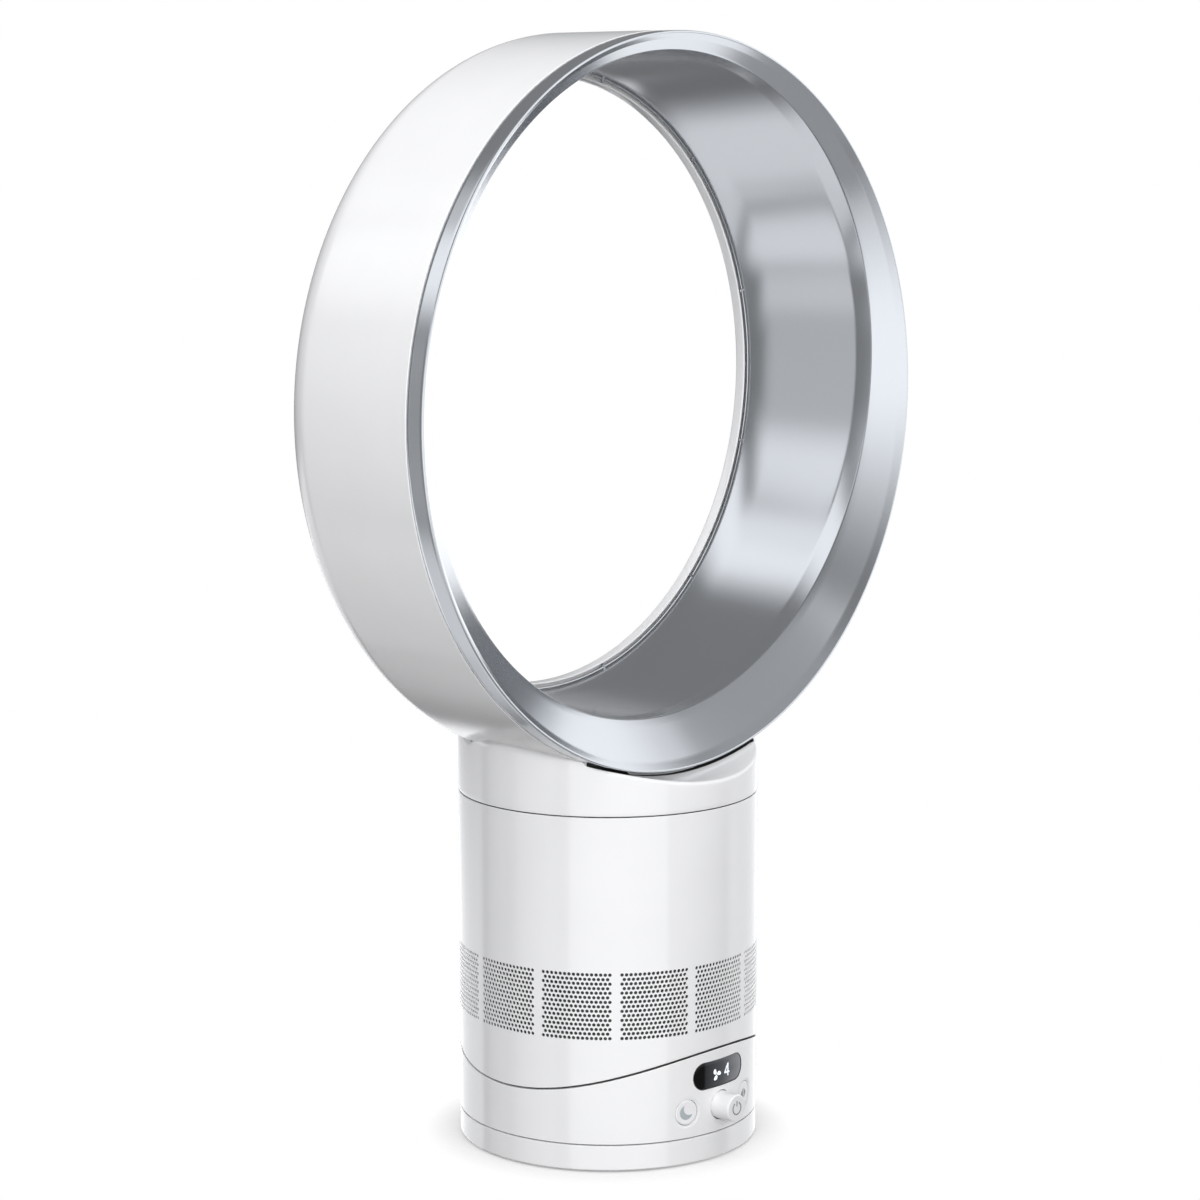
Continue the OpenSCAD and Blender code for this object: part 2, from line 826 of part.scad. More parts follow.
// Tilting upper column
module tilt_shoe() {
  color("whitesmoke") difference() {
    union() {
      intersection() {
        disc(inside_r, chassis_top, shoe_top);
        difference() {
          tilt_drum(shoe_r);
          tilt_drum(shoe_r - shoe_t);
        }
      }
      intersection() {
        union() {
          tube(inside_r, inside_r - shoe_wall, chassis_top, shoe_top);
          posts(shoe_post_orbit, shoe_post_angles, shoe_post_r, chassis_top, shoe_top);
          posts(drive_post_orbit, shoe_post_angles, drive_post_r, chassis_top, drive_board_z);
        }
        tilt_drum(shoe_r - shoe_t / 2);
      }
      for (x = [-rail_x, rail_x]) {
        tilt_arc(x, stem_w, shoe_r - shoe_t / 2, flange_r + flange_t / 2, runner_half_angle);
        tilt_arc(x, flange_w, flange_r, flange_r + flange_t, runner_half_angle);
      }
    }
    disc(shoe_hole_r, 0, shoe_top + cut);
    posts(shoe_post_orbit, shoe_post_angles, screw_r, shoe_top - 2 * shoe_post_r,
      shoe_top + cut);
  }
}

module shoe_screws() {
  color("silver") for (a = shoe_post_angles) rotate([0, 0, a])
    translate([shoe_post_orbit, 0, shoe_top + lug_t + screw_head_h]) rotate([180, 0, 0])
      screw(screw_head_h + lug_t + 2 * shoe_post_r - slip);
}

module intake_holes() {
  for (p = [0 : panels - 1]) for (row = [0 : hole_rows - 1])
    for (c = [0 : hole_cols - 1 - row % 2])
      facing(p * 360 / panels + (c - (hole_cols - 1 - row % 2) / 2) * hole_step_angle,
        intake_z + (row - (hole_rows - 1) / 2) * row_pitch, shell_in_r - wall)
        cylinder(r = hole_d / 2, h = 3 * wall, $fn = 16);
}

module body_casing() {
  color("whitesmoke") difference() {
    union() {
      intersection() {
        tube(base_r, shell_in_r, casing_z, upper_top);
        tilt_drum(upper_r);
      }
      tube(shell_in_r + wall / 2, ledge_in, ledge_z, ledge_z + ledge_t);
      tube(shell_in_r + wall / 2, shelf_in, shelf_z, shelf_z + shelf_t);
      lugs(shoe_post_orbit, shoe_post_angles, shoe_post_r, shoe_top);
    }
    posts(shoe_post_orbit, shoe_post_angles, screw_r + snug, shoe_top - cut,
      shoe_top + lug_t + cut);
    intake_holes();
  }
}

module silencer_foam() {
  color("darkgray") intersection() {
    tube(foam_r, foam_in, chassis_top, shoe_top);
    tilt_drum(shoe_r - shoe_t);
  }
}

module drive_board() {
  color("darkgreen") difference() {
    union() {
      disc(drive_board_r, drive_board_z, drive_board_z + board_t);
      for (a = [90, 210, 330]) rotate([0, 0, a]) translate([drive_board_r / 2, 0, 0])
        disc(capacitor_r, drive_board_z, drive_board_z + board_t + capacitor_h);
      block([chip_w, chip_w, chip_h + board_t], -chip_w * 1.6, chip_w, drive_board_z);
    }
    disc(shoe_hole_r / 2, drive_board_z - cut, drive_board_z + board_t + cut);
  }
}

// Fan duct and motor
module inlet_bell() {
  color("gray") rotate_extrude() polygon(concat(
    arc_points(bell_r, bell_top, bell_r - throat_r, 180, 270, 8),
    [[bell_r + duct_t, bell_top - bell_r + throat_r], [bell_r + duct_t, shelf_z + shelf_t],
      [bell_flange_r, shelf_z + shelf_t], [bell_flange_r, shelf_z + shelf_t + duct_t],
      [bell_r, shelf_z + shelf_t + duct_t]],
    arc_points(bell_r, bell_top, bell_r - throat_r - duct_t, 270, 180, 8)
  ));
}

module impeller_housing() {
  color("gray") union() {
    rotate_extrude() polygon(concat(
      duct_rise,
      [[duct_r, duct_top], [duct_r + duct_t, duct_top]],
      [for (i = [len(duct_rise) - 1 : -1 : 0]) duct_rise[i] + [duct_t, 0]]
    ));
    intersection() {
      posts(lug_orbit, lug_angles, lug_r, duct_top - duct_t, duct_top);
      tube(inside_r - snug, duct_r + duct_t / 2, duct_top - duct_t, duct_top);
    }
  }
}

module housing_seal() {
  color("dimgray") tube(shell_in_r, bell_flange_r - 2 * shelf_t, shelf_z + shelf_t + duct_t,
    shelf_z + 2 * shelf_t + duct_t);
}

module motor_mounts() {
  color("dimgray") posts(lug_orbit, lug_angles, mount_r, duct_top, ledge_z);
}

module bucket_lower() {
  color("gray") difference() {
    disc(bucket_r, bucket_z, bucket_mid);
    difference() {
      disc(bucket_r - bucket_t, bucket_z + bucket_t, bucket_mid + cut);
      disc(bearing_r + bearing_seat_t, bucket_z, bucket_z + bearing_h);
    }
    disc(bearing_r, bucket_z - cut, bucket_mid);
  }
}

module bucket_upper() {
  color("gray") rotate_extrude() polygon([
    [bucket_r, bucket_mid], [bucket_r, bucket_top], [bucket_cap_r + bucket_t, bucket_dome],
    [0, bucket_dome], [0, bucket_dome - bucket_t + slip], [bearing_r, bucket_dome - bucket_t + slip],
    [bearing_r, bucket_top], [bearing_r + bearing_seat_t, bucket_top],
    [bearing_r + bearing_seat_t, bucket_dome - bucket_t], [bucket_cap_r, bucket_dome - bucket_t],
    [bucket_r - bucket_t, bucket_top - bucket_t / 2], [bucket_r - bucket_t, bucket_mid],
  ]);
}

module diffuser() {
  color("gray") union() {
    tube(bucket_r + vane_ring_t, bucket_r, vane_z, vane_top - bucket_t);
    tube(duct_r, duct_r - vane_ring_t, vane_z, vane_top);
    intersection() {
      tube(duct_r - vane_ring_t / 2, bucket_r + vane_ring_t / 2, vane_z, vane_top - bucket_t);
      for (i = [0 : vanes - 1]) rotate([0, 0, i * 360 / vanes])
        translate([bucket_r, vane_bend_r, vane_top]) rotate([0, 90, 0]) difference() {
          cylinder(r = vane_bend_r + vane_t, h = base_r - bucket_r);
          translate([0, 0, -cut]) cylinder(r = vane_bend_r, h = base_r - bucket_r + 2 * cut);
          translate([-2 * vane_bend_r, -2 * vane_bend_r, -cut])
            cube([2 * vane_bend_r, 4 * vane_bend_r, base_r]);
          translate([-cut, 0, -cut]) cube([2 * vane_bend_r, 2 * vane_bend_r, base_r]);
        }
    }
  }
}

module motor_stator() {
  color("peru") union() {
    tube(stator_r, stator_in, stator_z, stator_top);
    tube(bucket_r - bucket_t, stator_r - cut, bucket_mid - bucket_t, bucket_mid + bucket_t);
  }
}

module motor_bearings() {
  color("silver") {
    tube(bearing_r, shaft_r + run, bucket_z, bucket_z + bearing_h);
    tube(bearing_r, shaft_r + run, bucket_top + bearing_seat_t, bucket_top + bearing_seat_t + bearing_h);
  }
}

module motor_shaft() {
  color("silver") disc(shaft_r, shaft_low, shaft_high);
}

module motor_rotor() {
  color("dimgray") tube(rotor_r, shaft_r, rotor_z, rotor_z + rotor_h);
}

module impeller() {
  color("ivory") difference() {
    union() {
      rotate_extrude() polygon(concat(
        hub_rise,
        [for (i = [len(hub_rise) - 1 : -1 : 0]) [max(0, hub_rise[i][0] - 2 * blade_t),
          min(hub_rise[i][1] + blade_t, bucket_z - blade_gap)]],
        [[0, hub_rise[0][1]]]
      ));
      disc(hub_rise[0][0], hub_rise[0][1], bucket_z - blade_gap - blade_t);
      intersection() {
        rotate_extrude() polygon(concat(
          [[hub_rise[0][0], blade_low], [throat_r - blade_gap - blade_t / 2, blade_low]],
          [for (p = duct_rise) if (p[1] > blade_low && p[1] < bucket_z - 2 * blade_gap)
            p - [blade_gap + blade_t / 2, 0]],
          [[hub_rise[4][0], hub_rise[4][1]]],
          [for (i = [3 : -1 : 0]) hub_rise[i] + [-blade_t, blade_t]]
        ));
        for (i = [0 : blades - 1]) rotate([0, 0, i * 360 / blades])
          translate([blade_arc_x, blade_arc_y, blade_low]) difference() {
            cylinder(r = blade_arc_r, h = bucket_z - blade_low);
            translate([0, 0, -cut])
              cylinder(r = blade_arc_r - blade_t, h = bucket_z - blade_low + 2 * cut);
            translate([-2 * blade_arc_r, -blade_arc_y, -cut])
              cube([4 * blade_arc_r, 3 * blade_arc_r, bucket_z]);
          }
      }
    }
    disc(shaft_r, blade_low - cut, bucket_z);
  }
}

module impeller_nut() {
  color("silver") tube(nut_r, shaft_r, hub_rise[0][1] - nut_h, hub_rise[0][1]);
}

// Nozzle
module neck_seal() {
  color("dimgray") tube(shell_in_r, seal_in, seal_z, seal_z + seal_h);
}

module saddle(gap, y0, y1) {
  ring_axis(0) translate([0, 0, y0]) cylinder(r = shell_r + gap, h = y1 - y0);
}

module nozzle_outer() {
  color("whitesmoke") difference() {
    union() {
      ring_axis(0) rotate_extrude() polygon(concat(
        [[shell_r, shell_front]],
        arc_points(shell_r - rear_round, rear_back - rear_round, rear_round, 0, 90, 10),
        [[cone_in_r - rim_w * 2, rear_back], [cone_in_r - rim_w * 2, rear_back - ring_wall]],
        arc_points(shell_r - rear_round, rear_back - rear_round,
          rear_round - ring_wall, 90, 0, 10),
        [[shell_r - ring_wall, shell_front]]
      ));
      ring_axis(bore_lift - guide_skew) translate([0, 0, lip_front])
        cylinder(r = rear_r + lip_t, h = rear_back - ring_wall / 2 - lip_front);
      difference() {
        disc(base_r, neck_z + seam / 2, neck_top);
        saddle(-ring_wall / 2, shell_front, rear_back - rear_round);
        saddle(saddle_gap, -2 * base_r, shell_front);
        saddle(0, rear_back - rear_round, 2 * base_r);
      }
      tube(skirt_r, skirt_in, skirt_z, neck_z + neck_collar_h);
    }
    ring_axis(bore_lift - guide_skew) {
      translate([0, 0, lip_front - 2 * cut])
        cylinder(r = rear_r, h = rear_back - lip_front + 4 * cut);
      translate([0, 0, rear_back - lip_round])
        cylinder(r1 = rear_r, r2 = rear_r + lip_round + cut, h = lip_round + cut);
    }
    difference() {
      disc(base_r - neck_wall, neck_z + neck_collar_h - cut, neck_top);
      saddle(saddle_gap + ring_wall, -2 * base_r, passage_front);
      saddle(saddle_gap + ring_wall, passage_back, 2 * base_r);
    }
    disc(skirt_in, skirt_z - cut, neck_z + neck_collar_h + cut);
    tube(skirt_r + cut, seal_in, seal_z, seal_z + seal_h);
  }
}

function cone_y(r) = rim_y + rim_round * 1.4 + cone_rise_share * (ring_r - rim_w - r);

// Radius of the diffuser surface at a place along the bore
function diffuser_r(y) =
  throat_out + (guide_r - throat_out) * (throat_y - y) / (throat_y - guide_end);

module nozzle_inner() {
  color("silver") union() {
    inner_shell();
    ring_axis(bore_lift - guide_skew) for (i = [0 : spacers - 1]) rotate([0, 0, (i + 0.5) * 360 / spacers])
      translate([rear_r + lip_t + snug, -spacer_w / 2, diffuser_back - spacer_l])
        cube([slot_gap + inner_wall / 2, spacer_w, spacer_l - snug]);
  }
}

module inner_shell() {
  difference() {
    union() {
      ring_axis(0) rotate_extrude() polygon(concat(
        [[cone_in_r, cone_y(cone_in_r)], [ring_r - rim_w, cone_y(ring_r - rim_w)]],
        arc_points(ring_r - rim_w / 2, rim_y + rim_round, rim_round, rim_from_angle, 360, 6),
        [[ring_r, shell_front], [ring_r - ring_wall - snug, shell_front],
          [ring_r - ring_wall - snug, shell_front + spigot_l],
          [ring_r - 2 * ring_wall, shell_front + spigot_l],
          [ring_r - 2 * ring_wall, cone_y(ring_r - 2 * ring_wall) + cone_wall],
          [cone_in_r, cone_y(cone_in_r) + cone_wall]]
      ));
      intersection() {
        ring_axis(bore_lift) rotate_extrude() polygon([
          [rear_r, rim_y - cut], [guide_r + inner_wall, rim_y - cut],
          [guide_r + inner_wall, guide_end], [throat_out + inner_wall, throat_y],
          [throat_out + inner_wall, diffuser_back - inner_wall / 2],
          [throat_out + inner_wall / 2, diffuser_back],
          [rear_r, diffuser_back],
        ]);
        ring_axis(0) rotate_extrude() polygon([
          [cone_in_r - 2 * bore_lift, cone_y(cone_in_r - 2 * bore_lift)],
          [ring_r - rim_w, cone_y(ring_r - rim_w)], [ring_r - rim_w, rear_back],
          [cone_in_r - 2 * bore_lift, rear_back],
        ]);
      }
    }
    intersection() {
      ring_axis(bore_lift + guide_skew) translate([0, 0, 2 * rim_y])
        cylinder(r = guide_r, h = 4 * rim_front);
      ring_axis(bore_lift - guide_skew) rotate_extrude() polygon([
        [0, 2 * rim_y], [diffuser_r(2 * rim_y), 2 * rim_y], [throat_out, throat_y],
        [throat_out - flare, diffuser_back - flare_l],
        [throat_out, diffuser_back + cut], [0, diffuser_back + cut],
      ]);
    }
  }
}

foot_shell();
foot_pad();
oscillation_rack();
rack_screws();
thrust_ring();
pivot_clip();
power_inlet();
base_chassis();
pivot_bush();
control_casing();
tilt_cradle();
cradle_screws();
display_window();
display_board();
control_board();
oscillation_motor();
motor_screws();
drive_pinion();
control_bracket();
knob_encoder();
encoder_pusher();
encoder_shaft();
power_knob();
sleep_button();
oscillation_button();
button_switches();
tilt_shoe();
shoe_screws();
body_casing();
silencer_foam();
drive_board();
inlet_bell();
impeller_housing();
housing_seal();
motor_mounts();
bucket_lower();
bucket_upper();
diffuser();
motor_stator();
motor_bearings();
motor_shaft();
motor_rotor();
impeller();
impeller_nut();
neck_seal();
nozzle_outer();
nozzle_inner();
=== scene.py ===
# %% [markdown]
# A bladeless desk fan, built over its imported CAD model. The CAD gives every piece its size and
# place. This script gives the pieces that show their fine shapes and their finishes, and lights
# and frames them as in the photograph. Lengths are in metres, +Z is up and -Y is the fan's front.

# %% Load the frame
import bpy
import bmesh
import json
import math
import numpy as np
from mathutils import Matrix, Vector


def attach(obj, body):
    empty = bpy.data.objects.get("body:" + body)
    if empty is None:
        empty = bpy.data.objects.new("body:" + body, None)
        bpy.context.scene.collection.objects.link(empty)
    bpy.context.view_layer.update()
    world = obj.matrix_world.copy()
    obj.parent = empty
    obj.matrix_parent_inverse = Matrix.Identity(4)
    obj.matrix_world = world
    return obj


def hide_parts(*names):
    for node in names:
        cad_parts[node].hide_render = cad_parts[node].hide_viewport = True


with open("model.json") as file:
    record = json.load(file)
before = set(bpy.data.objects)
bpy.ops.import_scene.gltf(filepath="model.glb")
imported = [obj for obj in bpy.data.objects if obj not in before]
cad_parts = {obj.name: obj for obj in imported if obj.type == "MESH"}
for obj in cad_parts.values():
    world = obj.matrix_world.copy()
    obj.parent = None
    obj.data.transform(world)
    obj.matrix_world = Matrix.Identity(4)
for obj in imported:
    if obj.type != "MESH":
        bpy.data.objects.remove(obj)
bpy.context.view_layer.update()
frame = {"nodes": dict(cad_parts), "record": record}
scene = bpy.context.scene
MM = 0.001

# %% [markdown]
# The camera stands to the left of the fan's front, a little above the middle of the ring, and
# looks slightly down. Its place, turn and lens were worked out from the ellipses of the ring and
# the seams in the photograph. The small shift stands for the photograph's own crop.

# %% Camera
CAMERA_TURN = -47.914
CAMERA_DISTANCE = 1.5732
CAMERA_HEIGHT = 0.5021
CAMERA_PITCH = -8.370
LENS_MM = 96.246
SENSOR_MM = 36.0
CROP_SHIFT = (-0.00674, -0.00145)
NEAREST = 0.05      # nothing closer to the camera than this is drawn

turn = math.radians(CAMERA_TURN)
camera = bpy.data.objects.new("camera", bpy.data.cameras.new("camera"))
scene.collection.objects.link(camera)
camera.data.sensor_width = SENSOR_MM
camera.data.lens = LENS_MM
camera.data.shift_x, camera.data.shift_y = CROP_SHIFT
camera.data.clip_start = NEAREST
camera.location = (CAMERA_DISTANCE * math.sin(turn), -CAMERA_DISTANCE * math.cos(turn), CAMERA_HEIGHT)
camera.rotation_euler = (math.radians(90 + CAMERA_PITCH), 0, turn)
scene.camera = camera
print("camera at", [round(v, 3) for v in camera.location])

# %% [markdown]
# Materials come next. A colour is written as the hex value that a picture editor shows, and one
# function turns it to the linear numbers that Blender works in. Another adds a node with its
# settings and its links, so that each material below reads as a short list of what feeds what.

# %% Colour and node helpers
def linear(hex_colour):
    """An sRGB hex colour as linear RGBA."""
    channels = [int(hex_colour[i:i + 2], 16) / 255 for i in (0, 2, 4)]
    return (*[c / 12.92 if c <= 0.04045 else ((c + 0.055) / 1.055) ** 2.4 for c in channels], 1.0)


def add(tree, kind, inputs=None, stops=(), **settings):
    """Adds a node. An input is a value or another node's output; stops are a ramp's colours."""
    node = tree.nodes.new(kind)
    for name, value in settings.items():
        setattr(node, name, value)
    for key, value in (inputs or {}).items():
        socket = node.inputs[key]
        if isinstance(value, bpy.types.NodeSocket):
            tree.links.new(value, socket)
        else:
            socket.default_value = value
    for i, (position, colour) in enumerate(stops):
        elements = node.color_ramp.elements
        element = elements[i] if i < len(elements) else elements.new(position)
        element.position = position
        element.color = linear(colour)
    return node


def finish_named(name, describe):
    """A new material whose nodes are made by describe(tree, place), which returns the shader."""
    material = bpy.data.materials.new(name)
    material.use_nodes = True
    tree = material.node_tree
    tree.nodes.clear()
    place = add(tree, "ShaderNodeTexCoord").outputs["Object"]
    add(tree, "ShaderNodeOutputMaterial", {"Surface": describe(tree, place)})
    return material

# %% [markdown]
# The outer shells are injection-moulded ABS with a polished mould. It is a clean, slightly warm
# white with a hard gloss. Under a raking light the gloss shows a very shallow orange peel from
# the melt, about 3 mm across, and the finest scuffs change the roughness a little.

# %% Glossy white ABS
BUMP_DEPTH = 0.02 * MM
CLOUD_MM = 38
GRIT_MM = 0.35
PLASTIC_IOR = 1.53


def toned(tree, pattern, stops, smoothest, roughest):
    """Shader inputs: a colour and a roughness that both follow one pattern."""
    tone = add(tree, "ShaderNodeValToRGB", {"Fac": pattern}, stops)
    gloss = add(tree, "ShaderNodeMapRange", {"Value": pattern, "To Min": smoothest, "To Max": roughest})
    return {"Base Color": tone.outputs["Color"], "Roughness": gloss.outputs["Result"]}


def moulded_plastic(name, light, dark, roughness, peel, peel_mm, grain=0.0):
    """A moulded plastic: mottled colour, uneven gloss, shallow peel and an optional fine grain."""
    def describe(tree, place):
        waves, cloud, grit = [
            add(tree, "ShaderNodeTexNoise", {
                "Vector": place, "Scale": 1 / (size * MM), "Detail": detail,
                "Roughness": rough}).outputs["Fac"]
            for size, detail, rough in ((peel_mm, 2.0, 0.4), (CLOUD_MM, 3.0, 0.5), (GRIT_MM, 2.0, 0.5))]
        height = add(tree, "ShaderNodeMath", {0: grit, 1: grain, 2: waves}, operation="MULTIPLY_ADD")
        bump = add(tree, "ShaderNodeBump", {
            "Height": height.outputs[0], "Strength": peel, "Distance": BUMP_DEPTH})
        finish = toned(tree, cloud, [(0.35, dark), (0.65, light)], roughness * 0.9, roughness * 1.12)
        return add(tree, "ShaderNodeBsdfPrincipled", {
            **finish, "Normal": bump.outputs["Normal"], "IOR": PLASTIC_IOR}).outputs[0]
    return finish_named(name, describe)


white_abs = moulded_plastic("Moulded glossy white ABS", "F3F3F4", "F1F1F2", 0.11, 0.12, 3.0)
print("made", white_abs.name)

# %% [markdown]
# The inside of the ring is the same ABS under a silver-grey metallic lacquer: fine aluminium
# flakes that lie nearly flat under a satin clear coat. It mirrors the room softly, so it goes from
# pale to dark grey as it turns. A flake is 0.05 mm and too fine to see, so it is drawn 0.4 mm
# coarse and very weak.

# %% Silver lacquer
FLAKE_MM = 0.4


def silver_lacquer(tree, place):
    flakes = add(tree, "ShaderNodeTexVoronoi", {"Vector": place, "Scale": 1 / (FLAKE_MM * MM)})
    tone = add(tree, "ShaderNodeMix", {
        "Factor": 0.03, "A": linear("B9BCC0"), "B": flakes.outputs["Color"]},
        data_type="RGBA", blend_type="SOFT_LIGHT")
    cloud = add(tree, "ShaderNodeTexNoise", {
        "Vector": place, "Scale": 1 / (30 * MM), "Detail": 3.0}).outputs["Fac"]
    gloss = add(tree, "ShaderNodeMapRange", {"Value": cloud, "To Min": 0.15, "To Max": 0.17})
    bump = add(tree, "ShaderNodeBump", {
        "Height": flakes.outputs["Distance"], "Strength": 0.025, "Distance": BUMP_DEPTH})
    return add(tree, "ShaderNodeBsdfPrincipled", {
        "Base Color": tone.outputs["Result"], "Metallic": 0.85,
        "Roughness": gloss.outputs["Result"], "Normal": bump.outputs["Normal"]}).outputs[0]


silver = finish_named("Silver metallic lacquer on ABS", silver_lacquer)
print("made", silver.name)

# %% [markdown]
# The small dark pieces are a smoked window of polished polycarbonate, matte nylon and soft
# rubber. Matte moulded plastics come from a spark-eroded mould and carry its fine grain.

# %% Dark and grey plastics
REFLECTION_HALF = 18.3      # the painted reflection gets paler over this far each way from the middle


def smoked(tree, place):
    """Hard-coated window: black at its left end, then grey painted reflection, paler to the right."""
    across = add(tree, "ShaderNodeSeparateXYZ", {0: place}).outputs["X"]
    share = add(tree, "ShaderNodeMapRange", {
        "Value": across, "From Min": -REFLECTION_HALF * MM, "From Max": REFLECTION_HALF * MM}).outputs["Result"]
    # Past the black, the greys of this ramp are painted reflection.
    tone = add(tree, "ShaderNodeValToRGB", {"Fac": share}, [
        (0.18, "010102"), (0.22, "303134"), (0.53, "54565A"), (0.87, "7E8084"), (1.0, "84868A")])
    haze = add(tree, "ShaderNodeTexNoise", {"Vector": place, "Scale": 1 / (4 * MM)}).outputs["Fac"]
    gloss = add(tree, "ShaderNodeMapRange", {"Value": haze, "To Min": 0.06, "To Max": 0.09})
    return add(tree, "ShaderNodeBsdfPrincipled", {
        "Base Color": tone.outputs["Color"], "Roughness": gloss.outputs["Result"], "IOR": 1.25}).outputs[0]


smoked_window_painted_reflection = finish_named("Smoked polycarbonate window with painted reflection", smoked)
black_nylon = moulded_plastic("Spark-eroded black nylon", "1B1B1C", "131314", 0.48, 0.5, 1.2, 0.6)
grey_abs = moulded_plastic("Spark-eroded grey ABS", "9A9C9F", "8C8E91", 0.5, 0.5, 1.2, 0.5)
rubber = moulded_plastic("Moulded black rubber", "202020", "171717", 0.72, 0.6, 1.5, 0.8)
acetal = moulded_plastic("Natural acetal", "E6E3D8", "DDD9CC", 0.34, 0.25, 2.0, 0.2)
print("made", len(bpy.data.materials), "materials")

# %% [markdown]
# Mesh helpers. Most of this object is turned or swept, so its pieces are grids of points: each
# row goes once round, and the rows follow each other along the profile. Smooth shading on such a
# grid is exact enough where the rows are close together at the tight curves.

# %% Grid helpers
def mesh_piece(name, points, faces, material):
    """An object from points and faces, at the origin."""
    mesh = bpy.data.meshes.new(name)
    mesh.from_pydata([tuple(p) for p in points], [], faces)
    mesh.materials.append(material)
    mesh.validate()
    piece = bpy.data.objects.new(name, mesh)
    scene.collection.objects.link(piece)
    return piece


def from_bmesh(name, mesh, *materials):
    """An object from a bmesh in metres, which is freed."""
    data = bpy.data.meshes.new(name)
    for material in materials:
        data.materials.append(material)
    mesh.to_mesh(data)
    mesh.free()
    piece = bpy.data.objects.new(name, data)
    scene.collection.objects.link(piece)
    return piece


def applied(piece):
    """Turns a piece with its modifiers into a plain mesh."""
    evaluated = piece.evaluated_get(bpy.context.evaluated_depsgraph_get())
    data = bpy.data.meshes.new_from_object(evaluated)
    piece.modifiers.clear()
    piece.data = data
    return piece

# %% Grids of points
def grid_faces(rows, columns, close_rows=False, offset=0):
    """Quads between rows of points that each close round. close_rows joins the last to the first."""
    faces = []
    for r in range(rows if close_rows else rows - 1):
        a = offset + r * columns
        b = offset + ((r + 1) % rows) * columns
        faces += [(a + c, a + (c + 1) % columns, b + (c + 1) % columns, b + c)
                  for c in range(columns)]
    return faces


def tidy(piece, merge=0.000002, angle=30.0):
    """Merges doubles, points the faces outwards and shades smooth up to an edge angle."""
    mesh = bmesh.new()
    mesh.from_mesh(piece.data)
    bmesh.ops.remove_doubles(mesh, verts=mesh.verts, dist=merge)
    bmesh.ops.recalc_face_normals(mesh, faces=mesh.faces)
    mesh.to_mesh(piece.data)
    mesh.free()
    piece.data.shade_smooth()
    piece.data.set_sharp_from_angle(angle=math.radians(angle))
    return piece


def arc(x, y, radius, start, end, steps):
    """Points on an arc in degrees."""
    return [(x + radius * math.cos(math.radians(start + (end - start) * i / steps)),
             y + radius * math.sin(math.radians(start + (end - start) * i / steps)))
            for i in range(steps + 1)]


def turned(name, profile, material, columns, angle=30.0, closed=True):
    """A profile of (radius, height) in mm, turned about the column's axis."""
    around = np.linspace(0, 2 * math.pi, columns, endpoint=False)
    points = [(r * math.cos(t) * MM, r * math.sin(t) * MM, z * MM) for r, z in profile for t in around]
    piece = mesh_piece(name, points, grid_faces(len(profile), columns, closed), material)
    return tidy(piece, angle=angle)


def swept(name, columns, material, angle):
    """A closed skin over columns of points in mm that stand side by side all the way round."""
    rows = len(columns[0])
    points = [column[r] * MM for r in range(rows) for column in columns]
    print(name, rows, "rows of", len(columns), "points")
    return tidy(mesh_piece(name, points, grid_faces(rows, len(columns), True), material), angle=angle)


def dress(piece, body, slot, *nodes):
    """The piece rides on a body and stands for the CAD nodes named. Its slot is not used."""
    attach(piece, body)
    if nodes:
        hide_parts(*nodes)
    print(piece.name, len(piece.data.polygons), "faces, on", body)

# %% [markdown]
# The ring's outer shell is one white moulding: a drum 356 mm across with a straight outer wall,
# a full round at its back and a thin lip that turns in at the rear opening. The air bore is not
# on the drum's axis but 7 mm above it, so the ring is thin at the top and deep at the bottom,
# where the air comes in. Each column of the grid is worked out for its own angle to allow for it.

# %% Ring sizes
RING_Z = 369.1
RING_R = 178.0
BORE_LIFT = 7.2
SKEW = 0.3
BASE_R = 74.65
NECK_Z = 175.8
REAR = 45.1
REAR_ROUND = 20.5
LIP_R = 151.4
LIP_FRONT = 39.2
SHELL_FRONT = -40.2
RIM_Y = -50.5
SHELL_PROUD = 0.2
SHELL_WALL = 2.2
LIP_WALL = 1.5
SOFT_EDGE = 0.35
COLUMNS = 384
ring_angles = np.linspace(0, 2 * math.pi, COLUMNS, endpoint=False)
print("ring", 2 * RING_R, "mm across, opening", 2 * LIP_R, "mm")


def about_ring(radius, angle, depth, lift=0.0):
    """A point at a radius about the ring's axis, lifted, as metres."""
    return (radius * math.cos(angle) * MM, depth * MM,
            (RING_Z + lift + radius * math.sin(angle)) * MM)


def ring_rows(rows, lift=0.0):
    """Points for rows of (radius, depth), each once round the lifted ring axis."""
    return [about_ring(r, t, y, lift) for r, y in rows for t in ring_angles]

# %% White outer shell
shell_r = RING_R + SHELL_PROUD
back_r, back_y = shell_r - REAR_ROUND, REAR - REAR_ROUND
outside = ([(shell_r - 0.3, SHELL_FRONT), (shell_r, SHELL_FRONT + 0.3)]
           + [(shell_r, y) for y in np.linspace(-34, back_y - 4, 6)]
           + arc(back_r, back_y, REAR_ROUND, 0, 86, 30))
lip = (arc(LIP_R + 1.2, REAR - 1.2, 1.2, 90, 180, 6)
       + [(LIP_R + 0.05, LIP_FRONT + 1.5), (LIP_R + 0.15, LIP_FRONT + 0.4)]
       + arc(LIP_R + 0.75, LIP_FRONT + 0.5, 0.5, 200, 340, 5)
       + [(LIP_R + LIP_WALL, REAR - SHELL_WALL)])
inside = ([(back_r, REAR - SHELL_WALL)]
          + arc(back_r, back_y, REAR_ROUND - SHELL_WALL, 80, 0, 12)
          + [(shell_r - SHELL_WALL, -30), (shell_r - SHELL_WALL, SHELL_FRONT)])
shell_points = ring_rows(outside) + ring_rows(lip, BORE_LIFT - SKEW) + ring_rows(inside)
shell_count = len(outside) + len(lip) + len(inside)
ring_shell = mesh_piece("ring_shell", shell_points, grid_faces(shell_count, COLUMNS, True), white_abs)
tidy(ring_shell, angle=40)
print("ring shell", len(ring_shell.data.polygons), "faces")

